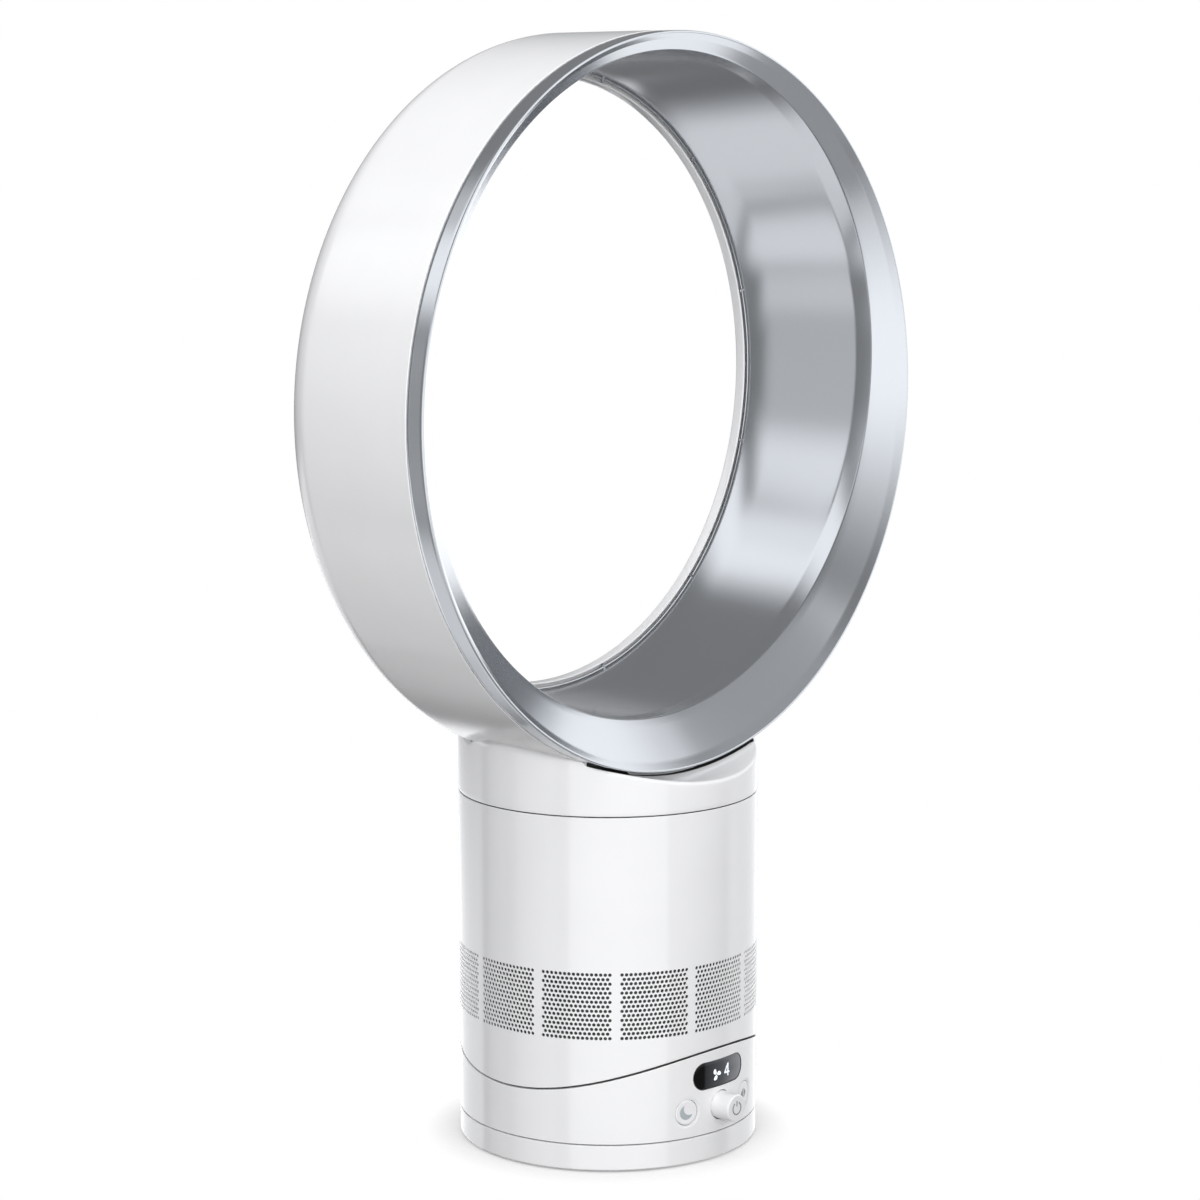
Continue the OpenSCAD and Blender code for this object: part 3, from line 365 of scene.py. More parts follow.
# %% [markdown]
# The neck is part of the same white moulding. It goes on up with the column's own diameter and
# the ring's drum is sunk into it, so its top is a hollow saddle at the front and the back, and at
# the sides it runs into the drum with a fillet. One column of points goes up the wall for each
# angle and then over a rounded edge or into the fillet, found as a ball that rolls along both.

# %% Neck sizes and the drum it meets
NECK_COLUMNS = 480
FILLET = 5.0
EDGE = 1.5
SADDLE_GAP = 1.25
FRONT_STEP = -40.6
# Front edge of the black strip of painted shade under the rim.
RIM_SHADE_Y = RIM_Y + 0.2
SADDLE_LOWEST = 186
REAR_BLEND = back_y
NECK_WALL = 3.2
NECK_BORE = 68
EDGE_FADE = 6.0
FILLET_FROM, FILLET_TO = -22, 8      # depths between which the fillet is full


def smooth(value, low, high):
    """0 below low, 1 above high and an S curve between."""
    t = min(max((value - low) / (high - low), 0.0), 1.0)
    return t * t * (3 - 2 * t)


def drum_at(y):
    """Radius of the ring's drum at a depth: its back is a full round."""
    past = min(max(0.0, y - REAR_BLEND), REAR_ROUND)
    return max(shell_r - 6, shell_r - REAR_ROUND + math.sqrt(REAR_ROUND ** 2 - past ** 2))


def drum_z(x, radius):
    """Height of the underside of a drum about the ring's axis."""
    return RING_Z - math.sqrt(radius * radius - x * x)


print("neck meets the ring between depths", FRONT_STEP, "and", round(REAR_BLEND, 1), "mm")

# %% [markdown]
# The top of the neck has two forms. Where the wall stands free of the drum, in front of it and
# behind it, a small ball rounds the edge from the inside, and the saddle follows the drum's
# underside. Where the wall meets the drum, a larger ball rolls in the corner outside and leaves
# the fillet. Both give the same number of points, so that the columns join into one grid.

# %% White neck
def free_top(sx, sy):
    """The rounded edge and the saddle beyond it, for a direction out from the column's axis."""
    front = sy < 0
    stop, gap = (FRONT_STEP, SADDLE_GAP) if front else (REAR_BLEND, 0.0)
    r = EDGE * smooth(abs(BASE_R * sy - stop), 0.0, EDGE_FADE) + 0.05
    cx, cy = (BASE_R - r) * sx, (BASE_R - r) * sy
    cz = drum_z(cx, drum_at(cy) + gap + r)
    up = Vector((-cx, 0, RING_Z - cz)).normalized()
    out = Vector((sx, sy, 0))
    edge = [Vector((cx, cy, cz)) + r * out.slerp(up, i / 6) for i in range(7)]
    last = edge[-1]
    line = max(RIM_SHADE_Y, last.y + 0.3 * (stop - last.y)) if front else (last.y + stop) / 2
    depths = [last.y + (line - last.y) * i / 4 for i in range(1, 5)]
    depths += [line + (stop - line) * (i - 4) / 3 for i in range(5, 8)]
    saddle = [Vector((last.x, y, drum_z(last.x, drum_at(y) + gap))) for y in depths]
    return edge + saddle + [Vector((last.x, stop, drum_z(last.x, shell_r - 0.8)))]


def fillet_top(sx, sy):
    """The fillet up into the drum and a few points sunk in it."""
    wall_y = BASE_R * sy
    r = 0.1 + (FILLET * smooth(wall_y, FRONT_STEP, FILLET_FROM)
               * (1 - smooth(wall_y, FILLET_TO, REAR_BLEND)))
    cx, cy = (BASE_R + r) * sx, (BASE_R + r) * sy
    cz = drum_z(cx, shell_r + r)
    up = Vector((-cx, 0, RING_Z - cz)).normalized()
    inward = Vector((-sx, -sy, 0))
    fillet = [Vector((cx, cy, cz)) + r * inward.slerp(up, i / 6) for i in range(7)]
    sunk = [fillet[-1] + inward * (0.4 * i) for i in range(1, 8)]
    sunk = [Vector((p.x, p.y, drum_z(p.x, shell_r - 0.12 * i))) for i, p in enumerate(sunk, 1)]
    return fillet + sunk + [sunk[-1] + Vector((0, 0, 0.5))]


def neck_column(t):
    """Points in mm from the seam up over the top, for an angle from the front."""
    sx, sy = math.sin(t), -math.cos(t)
    low = NECK_Z + 0.25
    stands_free = BASE_R * sy < FRONT_STEP - 0.2 or BASE_R * sy > REAR_BLEND
    top = free_top(sx, sy) if stands_free else fillet_top(sx, sy)
    within = (BASE_R - NECK_WALL) * Vector((sx, sy, 0))
    wall = [within + Vector((0, 0, low))]
    for a in np.linspace(0, math.pi / 2, 4):
        r = BASE_R - SOFT_EDGE + SOFT_EDGE * math.sin(a)
        wall.append(Vector((r * sx, r * sy, low + SOFT_EDGE - SOFT_EDGE * math.cos(a))))
    wall += [Vector((BASE_R * sx, BASE_R * sy, z)) for z in np.linspace(low + 2, top[0].z - 1.0, 6)]
    inner = [Vector((NECK_BORE * sx, NECK_BORE * sy, NECK_Z + 7)), within + Vector((0, 0, low + 4))]
    return wall + top + inner


neck_angles = np.linspace(0, 2 * math.pi, NECK_COLUMNS, endpoint=False)
neck = swept("neck", [neck_column(t) for t in neck_angles], white_abs, 40)
neck.data.materials.append(rubber)      # a black strip of painted shade lies in the saddle under the rim
for face in neck.data.polygons:
    c = face.center / MM
    painted_shade_under_rim = RIM_SHADE_Y < c.y < FRONT_STEP + 0.3 and c.z > SADDLE_LOWEST
    if painted_shade_under_rim and math.hypot(c.x, c.y) < BASE_R - EDGE - 0.15:
        face.material_index = 1

# %% [markdown]
# The skirt below the neck plugs into the column and is only seen as the dark floor of the seam
# between them. It is turned as one plain tube and joined to the shell and the neck: on the real
# fan all of this is one piece.

# %% Join the outer moulding
def joined(name, *pieces):
    """Several objects as one mesh object."""
    mesh = bmesh.new()
    materials = []
    for piece in pieces:
        first = len(mesh.faces)
        mesh.from_mesh(piece.data)
        mesh.faces.ensure_lookup_table()
        for face in mesh.faces[first:]:
            material = piece.data.materials[face.material_index]
            if material not in materials:
                materials.append(material)
            face.material_index = materials.index(material)
    for piece in pieces:
        bpy.data.objects.remove(piece)
    return from_bmesh(name, mesh, *materials)


SKIRT_IN, SKIRT_OUT, SKIRT_LOW, SKIRT_HIGH = 69.4, 71.9, 168, 182
skirt = turned("skirt", [(SKIRT_IN, SKIRT_LOW), (SKIRT_OUT, SKIRT_LOW), (SKIRT_OUT, SKIRT_HIGH),
                         (SKIRT_IN, SKIRT_HIGH)], white_abs, 192)
nozzle_shell = joined("nozzle_shell", ring_shell, neck, skirt)
dress(nozzle_shell, "fan_head", "white_shell", "nozzle_outer")

# %% [markdown]
# The silver liner starts as a narrow band round the outside, rolls over the front rim and goes
# in as a shallow cone. Then come a short straight guide and the long diffuser, whose far end
# hides the air slot behind it. The guide's axis and the diffuser's are a little apart, so the
# soft line between them swings to and fro, as in the photograph. Two short curves round off each
# line, because a moulded and lacquered edge is never sharp.

# %% Silver liner
GUIDE_R = 161.3
GUIDE_END = -28.3
SLOT = 1.3
THROAT = LIP_R + LIP_WALL + SLOT
THROAT_Y = 32.0
LINER_BACK = LIP_FRONT + 0.8
TAPER = (GUIDE_R - THROAT) / (THROAT_Y - GUIDE_END)
BEND_Y = 20.0
BEND_R = 150.0
CONE_EDGE = 175.9
CONE_RISE = 0.71
RIM_ROUND = 0.6
LINER_WALL = 2.4


def cone_depth(radius):
    """Depth of the shallow cone at a radius about the ring's axis."""
    return RIM_Y + 1.47 + CONE_RISE * (CONE_EDGE - radius)


def eased(start, corner, end, steps):
    """A quadratic curve that rounds off a corner."""
    return [start * (1 - t) ** 2 + corner * 2 * t * (1 - t) + end * t * t
            for t in np.linspace(0, 1, steps)]


def liner_column(t):
    """Points in mm from the outer band round the rim and in to the slot, for an angle."""
    def outer(r, y):
        return Vector((r * math.cos(t), y, RING_Z + r * math.sin(t)))

    def bore(r, y):
        return Vector((r * math.cos(t), y, RING_Z + BORE_LIFT + r * math.sin(t)))

    def on_cone(p):
        radius = math.hypot(p.x, p.z - RING_Z)
        return Vector((p.x, cone_depth(radius), p.z))

    guide = GUIDE_R + SKEW * math.sin(t)
    swing = -SKEW * math.sin(t)
    throat = THROAT + swing
    edge = on_cone(bore(guide, 0))
    end_y = THROAT_Y - (guide - throat) / TAPER
    rows = [outer(r, y) for r, y in (
        (RING_R - LINER_WALL, SHELL_FRONT), (RING_R - SOFT_EDGE, SHELL_FRONT),
        (RING_R, SHELL_FRONT - SOFT_EDGE), (RING_R, -42.5), (RING_R, -45.5), (RING_R, -48.4),
        *arc(RING_R - RIM_ROUND, RIM_Y + RIM_ROUND, RIM_ROUND, 0, -90, 7),
        (CONE_EDGE + 1.1, RIM_Y), (CONE_EDGE + 0.9, RIM_Y + 0.04), (CONE_EDGE + 0.72, RIM_Y + 0.16))]
    rim = outer(CONE_EDGE - 1.6, cone_depth(CONE_EDGE - 1.6))
    rows.append(rim)
    inward = edge - rim
    for s in (0.08, 0.3, 0.55, 0.8):
        rows.append(on_cone(rim + inward * s))
    before = on_cone(edge - inward.normalized() * 0.7)
    rows += eased(before, edge, bore(guide, edge.y + 0.7), 6)
    rows += eased(bore(guide, end_y - 1.2), bore(guide, end_y),
                  bore(throat + TAPER * (THROAT_Y - end_y - 1.2), end_y + 1.2), 5)
    for y in np.linspace(end_y + 6, BEND_Y - 1, 8):
        rows.append(bore(throat + TAPER * (THROAT_Y - y), y))
    for y in np.linspace(BEND_Y, LINER_BACK - 1.2, 16):
        rows.append(bore(throat + TAPER * (THROAT_Y - y) + (y - BEND_Y) ** 2 / (2 * BEND_R), y))
    rows += [bore(throat + 1 + r, y) for r, y in arc(0, LINER_BACK - 1, 1.0, 180, 0, 8)]
    rows += [bore(throat + 2, THROAT_Y), bore(guide + 2, end_y), bore(guide + 2, edge.y + 6)]
    rows += [outer(RING_R - 6, cone_depth(RING_R - 6) + 2.8), outer(RING_R - 4.4, SHELL_FRONT + 6)]
    return rows + [outer(RING_R - LINER_WALL, SHELL_FRONT + 6)]


liner = swept("nozzle_liner", [liner_column(t) for t in ring_angles], silver, 50)

# %% [markdown]
# Small spacers hold the liner off the white lip, so that the air slot keeps its width. They are
# one block twelve times, so Geometry Nodes repeat a single block round the bore. The count and
# the height of the axis are inputs of the tree. Its last two nodes turn the copies into real mesh
# and give them the lacquer, because copies that stay instances are lost in an export.

# %% Slot spacers by Geometry Nodes
def group_input(tree, name, kind, default):
    """A named input of a Geometry Nodes tree."""
    socket = tree.interface.new_socket(name, in_out="INPUT", socket_type=kind)
    socket.default_value = default
    return socket


def plain_mesh(piece, tree, values):
    """Runs a tree on a piece with named inputs and keeps the plain mesh."""
    modifier = piece.modifiers.new("nodes", "NODES")
    modifier.node_group = tree
    for item in tree.interface.items_tree:
        if item.in_out == "INPUT" and item.name in values:
            modifier[item.identifier] = values[item.name]
    return applied(piece)


def cube_mesh(name, low, high, material):
    """A box between two corners in metres, with slightly bevelled edges."""
    mesh = bmesh.new()
    bmesh.ops.create_cube(mesh, size=1.0)
    size = Vector(high) - Vector(low)
    bmesh.ops.scale(mesh, vec=size, verts=mesh.verts)
    bmesh.ops.translate(mesh, vec=(Vector(low) + Vector(high)) / 2, verts=mesh.verts)
    bmesh.ops.bevel(mesh, geom=mesh.edges[:], offset=min(size) * 0.12, segments=1, affect="EDGES")
    return from_bmesh(name, mesh, material)


def ring_repeat_tree(name, material):
    """Repeats the piece it is on round the Y axis at a height."""
    tree = bpy.data.node_groups.new(name, "GeometryNodeTree")
    tree.interface.new_socket("Geometry", in_out="INPUT", socket_type="NodeSocketGeometry")
    group_input(tree, "Count", "NodeSocketInt", 12)
    group_input(tree, "Axis height", "NodeSocketFloat", 0.376)
    tree.interface.new_socket("Geometry", in_out="OUTPUT", socket_type="NodeSocketGeometry")
    given = add(tree, "NodeGroupInput")
    points = add(tree, "GeometryNodePoints", {"Count": given.outputs["Count"]})
    index = add(tree, "GeometryNodeInputIndex")
    half = add(tree, "ShaderNodeMath", {0: index.outputs[0], 1: 0.5}, operation="ADD")
    share = add(tree, "ShaderNodeMath", {0: half.outputs[0], 1: given.outputs["Count"]},
                operation="DIVIDE")
    angle = add(tree, "ShaderNodeMath", {0: share.outputs[0], 1: 2 * math.pi}, operation="MULTIPLY")
    spin = add(tree, "ShaderNodeCombineXYZ", {"Y": angle.outputs[0]})
    placed = add(tree, "GeometryNodeInstanceOnPoints", {
        "Points": points.outputs[0], "Instance": given.outputs["Geometry"],
        "Rotation": spin.outputs[0]})
    lifted = add(tree, "ShaderNodeCombineXYZ", {"Z": given.outputs["Axis height"]})
    moved = add(tree, "GeometryNodeTransform", {
        "Geometry": placed.outputs[0], "Translation": lifted.outputs[0]})
    real = add(tree, "GeometryNodeRealizeInstances", {"Geometry": moved.outputs[0]})
    coloured = add(tree, "GeometryNodeSetMaterial", {"Geometry": real.outputs[0], "Material": material})
    add(tree, "NodeGroupOutput", {"Geometry": coloured.outputs[0]})
    return tree


spacer = cube_mesh("slot_spacers", ((LIP_R + 1.6) * MM, (LINER_BACK - 1.3) * MM, -0.8 * MM),
                   ((THROAT + 3.4) * MM, (LINER_BACK + 0.4) * MM, 0.8 * MM), silver)
plain_mesh(spacer, ring_repeat_tree("repeat round the bore", silver),
           {"Count": 12, "Axis height": (RING_Z + BORE_LIFT - SKEW) * MM})
liner = joined("nozzle_liner", liner, spacer)
dress(liner, "fan_head", "silver_paint", "nozzle_inner")

# %% [markdown]
# The column's casing is a straight tube of polished white ABS. Round its lower half run twelve
# panels of punched holes, 1.7 mm across, fifteen rows high with sixteen and fifteen holes in
# turn: about 2800 in all. Cutting them with booleans would be slow and would leave a rough mesh.
# One small cell, a square of wall with a hole in it, is made flat and repeated by Geometry Nodes,
# which then bend the whole sheet round the column. The cells' edges meet point for point.

# %% One cell of perforated wall
PANELS = 12
ROWS = 15
LONG_ROW = 16
PITCH_DEG = 1.70
ROW_PITCH = 2.25
HOLE_R = 0.87
INTAKE_Z = 82.8
WALL = 2.3
SHEET = 0.45      # the wall is thinned from inside to this where it is punched
HOLE_SIDES = 12
print("a hole every", round(math.radians(PITCH_DEG) * BASE_R, 2), "mm round and", ROW_PITCH, "mm up")


def hole_cell(material):
    """A flat cell: x in degrees, y is depth into the wall in mm, z in mm."""
    half_w, half_h = PITCH_DEG / 2, ROW_PITCH / 2
    mm_per_degree = BASE_R * math.pi / 180
    border = [(-half_w, -half_h), (0, -half_h), (half_w, -half_h), (half_w, half_h), (0, half_h),
              (-half_w, half_h)]
    mesh = bmesh.new()
    sides = {}
    for depth in (0.0, SHEET):
        ring = []
        for k in range(HOLE_SIDES):
            a = 2 * math.pi * (k + 0.5) / HOLE_SIDES - math.pi
            x, z = HOLE_R * math.cos(a) / mm_per_degree, HOLE_R * math.sin(a)
            ring.append(mesh.verts.new((x, depth, z)))
        sides[depth] = ring
    upper, lower = sides[0.0], sides[SHEET]
    for k in range(HOLE_SIDES):
        n = (k + 1) % HOLE_SIDES
        mesh.faces.new((upper[k], upper[n], lower[n], lower[k]))
    for depth in (0.0, SHEET):
        outer = [mesh.verts.new((x, depth, z)) for x, z in border]
        ring = sides[depth]
        edges = []
        for loop in (outer, ring):
            for k in range(len(loop)):
                pair = (loop[k], loop[(k + 1) % len(loop)])
                edges.append(mesh.edges.get(pair) or mesh.edges.new(pair))
        bmesh.ops.triangle_fill(mesh, edges=edges, use_beauty=True)
    bmesh.ops.recalc_face_normals(mesh, faces=mesh.faces)
    return from_bmesh("intake_band", mesh, material)


# %% [markdown]
# Each cell's place comes from sums on the number of its point: which panel it is in, which row of
# that panel, and which place in the row. Every second row lies half a pitch further on and has
# one hole less. The list in the code gives each sum a name that later sums use. The cells are laid
# out flat first and made real mesh, and then x in degrees becomes an angle round the column.

# %% Sizes and sums of the tree
intake_sizes = {
    "Panels": PANELS, "Rows": ROWS, "Holes in a long row": LONG_ROW,
    "Hole pitch in degrees": PITCH_DEG, "Row pitch in mm": ROW_PITCH,
    "Middle height in mm": INTAKE_Z, "Column radius in mm": BASE_R}
intake_sums = (
    ("cells in a panel", "MULTIPLY", "Rows", "Holes in a long row"),
    ("cells", "MULTIPLY", "cells in a panel", "Panels"),
    ("panels before", "DIVIDE", "number", "cells in a panel"),
    ("panel", "FLOOR", "panels before"),
    ("number in panel", "FLOORED_MODULO", "number", "cells in a panel"),
    ("rows before", "DIVIDE", "number in panel", "Holes in a long row"),
    ("row", "FLOOR", "rows before"),
    ("place", "FLOORED_MODULO", "number in panel", "Holes in a long row"),
    ("odd row", "FLOORED_MODULO", "row", 2.0),
    ("half step", "MULTIPLY", "odd row", 0.5),
    ("shifted place", "ADD", "place", "half step"),
    ("last place", "SUBTRACT", "Holes in a long row", 1.0),
    ("middle place", "MULTIPLY", "last place", 0.5),
    ("places from middle", "SUBTRACT", "shifted place", "middle place"),
    ("along", "MULTIPLY", "places from middle", "Hole pitch in degrees"),
    ("panel turn", "DIVIDE", 360.0, "Panels"),
    ("angle", "MULTIPLY_ADD", "panel", "panel turn", "along"),
    ("last row", "SUBTRACT", "Rows", 1.0),
    ("middle row", "MULTIPLY", "last row", 0.5),
    ("rows from middle", "SUBTRACT", "row", "middle row"),
    ("height", "MULTIPLY_ADD", "rows from middle", "Row pitch in mm", "Middle height in mm"),
    ("holes up to here", "ADD", "place", "odd row"),
    ("most holes", "SUBTRACT", "Holes in a long row", 0.5),
    ("has a hole", "LESS_THAN", "holes up to here", "most holes"),
    ("bend", "RADIANS", "X"),
    ("radius", "SUBTRACT", "Column radius in mm", "Y"),
    ("radius in m", "MULTIPLY", "radius", MM),
    ("sine", "SINE", "bend"),
    ("cosine", "COSINE", "bend"),
    ("forwards", "MULTIPLY", "cosine", -1.0),
    ("bent x", "MULTIPLY", "radius in m", "sine"),
    ("bent y", "MULTIPLY", "radius in m", "forwards"),
    ("bent z", "MULTIPLY", "Z", MM))

# %% The tree that repeats the cell and bends the sheet
def intake_tree(material):
    """Lays the cells out in rows and panels and bends them round the column."""
    tree = bpy.data.node_groups.new("perforated intake", "GeometryNodeTree")
    tree.interface.new_socket("Geometry", in_out="INPUT", socket_type="NodeSocketGeometry")
    for name, size in intake_sizes.items():
        group_input(tree, name, "NodeSocketInt" if isinstance(size, int) else "NodeSocketFloat", size)
    tree.interface.new_socket("Geometry", in_out="OUTPUT", socket_type="NodeSocketGeometry")
    position = add(tree, "GeometryNodeInputPosition").outputs[0]
    known = dict(add(tree, "NodeGroupInput").outputs.items())
    known["number"] = add(tree, "GeometryNodeInputIndex").outputs[0]
    known.update(add(tree, "ShaderNodeSeparateXYZ", {0: position}).outputs.items())
    for name, operation, *terms in intake_sums:
        inputs = {i: known.get(term, term) for i, term in enumerate(terms)}
        known[name] = add(tree, "ShaderNodeMath", inputs, operation=operation).outputs[0]
    points = add(tree, "GeometryNodePoints", {"Count": known["cells"]}).outputs[0]
    flat_place = add(tree, "ShaderNodeCombineXYZ", {"X": known["angle"], "Z": known["height"]}).outputs[0]
    spread = add(tree, "GeometryNodeSetPosition", {"Geometry": points, "Position": flat_place}).outputs[0]
    cells = add(tree, "GeometryNodeInstanceOnPoints", {
        "Points": spread, "Selection": known["has a hole"], "Instance": known["Geometry"]}).outputs[0]
    sheet = add(tree, "GeometryNodeRealizeInstances", {"Geometry": cells}).outputs[0]
    bent_place = add(tree, "ShaderNodeCombineXYZ", {
        "X": known["bent x"], "Y": known["bent y"], "Z": known["bent z"]}).outputs[0]
    bent = add(tree, "GeometryNodeSetPosition", {"Geometry": sheet, "Position": bent_place}).outputs[0]
    merged = add(tree, "GeometryNodeMergeByDistance", {"Geometry": bent, "Distance": 0.004 * MM}).outputs[0]
    coloured = add(tree, "GeometryNodeSetMaterial", {"Geometry": merged, "Material": material}).outputs[0]
    add(tree, "NodeGroupOutput", {"Geometry": coloured})
    return tree


intake_band = plain_mesh(hole_cell(white_abs), intake_tree(white_abs), intake_sizes)
print("perforated band", len(intake_band.data.polygons), "faces")

# %% [markdown]
# The rest of the casing is plain wall: the strips between the panels, the long smooth part above
# and the part below that ends in the curved tilt seam. Its columns of points stand exactly where
# the cells have theirs, so everything can be merged into one closed skin.

# %% Plain wall of the casing
TILT_Z = 206.0
TILT_R = 167.7
TILT_GAP = 0.5
STEP_DEG = PITCH_DEG / 2
PANEL_TURN = 360 // PANELS
panel_half = LONG_ROW * STEP_DEG
casing_degrees = [panel * PANEL_TURN + a for panel in range(PANELS)
                  for a in [-panel_half + i * STEP_DEG for i in range(2 * LONG_ROW + 1)] + [PANEL_TURN / 2]]


def round_column(degrees, r, z):
    """A point at an angle from the front, from mm to metres."""
    t = math.radians(degrees)
    return (r * math.sin(t) * MM, -r * math.cos(t) * MM, z * MM)


def tilt_seam_z(degrees, radius, r):
    """Height of the curved seam at an angle from the front and a distance from the column's axis."""
    y = r * math.cos(math.radians(degrees))
    return TILT_Z - math.sqrt(radius * radius - y * y)


def skin(name, degrees, row_sets, material):
    """Open sheets of wall. Each row is (radius, height or function of angle and radius)."""
    points, faces = [], []
    for rows in row_sets:
        start = len(points)
        for r, z in rows:
            points += [round_column(a, r, z(a, r) if callable(z) else z) for a in degrees]
        faces += grid_faces(len(rows), len(degrees), False, start)
    return mesh_piece(name, points, faces, material)


def above_seam(rise):
    """Height of the head's side of the tilt seam and a rise."""
    return lambda a, r: tilt_seam_z(a, TILT_R - TILT_GAP / 2, r) + rise


band_low = INTAKE_Z - ROWS * ROW_PITCH / 2
band_high = INTAKE_Z + ROWS * ROW_PITCH / 2
casing_top = NECK_Z - 0.25
inner_r = BASE_R - WALL
sheet_r = BASE_R - SHEET
# The wall ends this far above the tilt seam, to leave room for a black strip of painted shade.
SHADE_STRIP = 0.4


def wall_end(at):
    """Rows over the softened end of a wall, from inside. at(d) is the height d into the wall."""
    return [(inner_r, at(0)), (BASE_R - SOFT_EDGE, at(0)), (BASE_R - 0.1, at(0.1)), (BASE_R, at(SOFT_EDGE))]


lower_rows = [(sheet_r, band_low), (inner_r, band_low - 0.5), (inner_r, above_seam(SHADE_STRIP + 0.6))]
lower_rows += wall_end(lambda d: above_seam(SHADE_STRIP + d))
lower_rows += [(BASE_R, above_seam(2.5)), (BASE_R, above_seam(7)), (BASE_R, band_low)]
upper_rows = [(BASE_R, band_high)] + [(BASE_R, z) for z in np.linspace(108, casing_top - 2, 8)]
upper_rows += wall_end(lambda d: casing_top - d)[::-1] + [(inner_r, band_high + 0.5), (sheet_r, band_high)]
plain_wall = skin("plain_wall", casing_degrees, [lower_rows, upper_rows], white_abs)

strip_points, strip_faces = [], []
for panel in range(PANELS):
    for row in range(ROWS):
        low = band_low + row * ROW_PITCH
        left, right = panel * PANEL_TURN + panel_half, panel * PANEL_TURN + PANEL_TURN - panel_half
        middle = panel * PANEL_TURN + PANEL_TURN / 2
        spans = [(left, middle), (middle, right)]
        if row % 2:
            spans += [(left - STEP_DEG, left), (right, right + STEP_DEG)]
        for a, b in spans:
            for r in (BASE_R, sheet_r):
                n = len(strip_points)
                strip_points += [round_column(a, r, low), round_column(b, r, low),
                                 round_column(b, r, low + ROW_PITCH), round_column(a, r, low + ROW_PITCH)]
                strip_faces.append((n, n + 1, n + 2, n + 3))
strips = mesh_piece("strips", strip_points, strip_faces, white_abs)


def true_round(piece, radius, tolerance=0.3):
    """Gives every face that lies on the column the exact normals of a round surface."""
    mesh = piece.data
    normals = [tuple(n.vector) for n in mesh.corner_normals]
    for face in mesh.polygons:
        c = face.center
        r = math.hypot(c.x, c.y)
        across = (face.normal.x * c.x + face.normal.y * c.y) / r
        if abs(across) > 0.985 and abs(r - radius * MM) < tolerance * MM:
            for i in face.loop_indices:
                v = mesh.vertices[mesh.loops[i].vertex_index].co
                d = math.hypot(v.x, v.y)
                sign = 1 if across > 0 else -1
                normals[i] = (sign * v.x / d, sign * v.y / d, 0.0)
    mesh.normals_split_custom_set(normals)


casing = joined("column_casing", intake_band, plain_wall, strips)
tidy(casing, merge=0.000006, angle=35)
true_round(casing, BASE_R)
dress(casing, "fan_head", "white_shell", "body_casing")

# %% [markdown]
# Behind the holes lies a thin black sleeve: painted shade, so that every hole looks black. Each
# seam has a thin black strip on the end of the wall above or below it: painted shade, which
# makes the seam a clean dark line.

# %% Painted-shade sleeve and seam strips
# A black sleeve behind the holes, as painted shade inside them.
hole_shade_sleeve = turned("intake_hole_shade", [(sheet_r - 0.35, band_low + 0.03), (sheet_r - 0.02, band_low + 0.03),
                                (sheet_r - 0.02, band_high - 0.03), (sheet_r - 0.35, band_high - 0.03)],
               black_nylon, 384)
dress(hole_shade_sleeve, "fan_head", "plastic_black")


def shade_strip_rows(low, high):
    """Rows of a black strip of painted shade on a wall's end, between two heights."""
    inside, outside = inner_r + 0.05, BASE_R - 0.4
    return [(inside, low), (outside, low), (outside, high), (inside, high), (inside, low)]


# Black strips at the head's two seams: painted shade.
head_shade_strips = skin("head_seam_shade", casing_degrees, [
    shade_strip_rows(above_seam(0.02), above_seam(SHADE_STRIP - 0.02)),
    shade_strip_rows(casing_top + 0.01, casing_top + 0.2)], rubber)
tidy(head_shade_strips)
dress(head_shade_strips, "fan_head", "rubber_black")

# %% [markdown]
# Everything on the control base follows its round wall: the window, the buttons, their rings and
# the printed signs. They are drawn flat, in millimetres along the wall and up it, with a depth
# into it, and then laid on the round. A pill is a stack of outlines, each a little further in.

# %% Pieces laid on the round wall
def on_wall(angle, height, u, v, depth):
    """A point u along the wall, v above the height and a depth inside the surface, all in mm."""
    t = math.radians(angle) + u / BASE_R
    r = BASE_R - depth
    return (r * math.sin(t) * MM, -r * math.cos(t) * MM, (height + v) * MM)


def pill_outline(length, height, inset, columns, step=1.0):
    """Points round a pill shape drawn in from its edge. Equal length and height give a circle."""
    straight, r = (length - height) / 2, height / 2 - inset
    along = int(2 * straight / step)
    points = []
    for side in (1, -1):
        for k in range(columns // 2):
            a = math.pi * (k + 0.5) / (columns // 2) - math.pi / 2
            points.append((side * (straight + r * math.cos(a)), side * r * math.sin(a)))
        points += [(side * straight * (1 - 2 * (k + 0.5) / along), side * r) for k in range(along)]
    return points


def wall_pill(name, length, height, rows, angle, middle, material, columns=96, closed=False, sharp=35):
    """A pill-shaped piece on the wall. Rows are (inset, depth); open stacks close at their middles."""
    points = [on_wall(angle, middle, u, v, depth) for inset, depth in rows
              for u, v in pill_outline(length, height, inset, columns)]
    piece = mesh_piece(name, points, grid_faces(len(rows), len(points) // len(rows), closed), material)
    if not closed:
        mesh = bmesh.new()
        mesh.from_mesh(piece.data)
        bmesh.ops.remove_doubles(mesh, verts=mesh.verts, dist=0.000002)
        bmesh.ops.holes_fill(mesh, edges=[e for e in mesh.edges if e.is_boundary], sides=0)
        mesh.to_mesh(piece.data)
        mesh.free()
    return tidy(piece, angle=sharp)

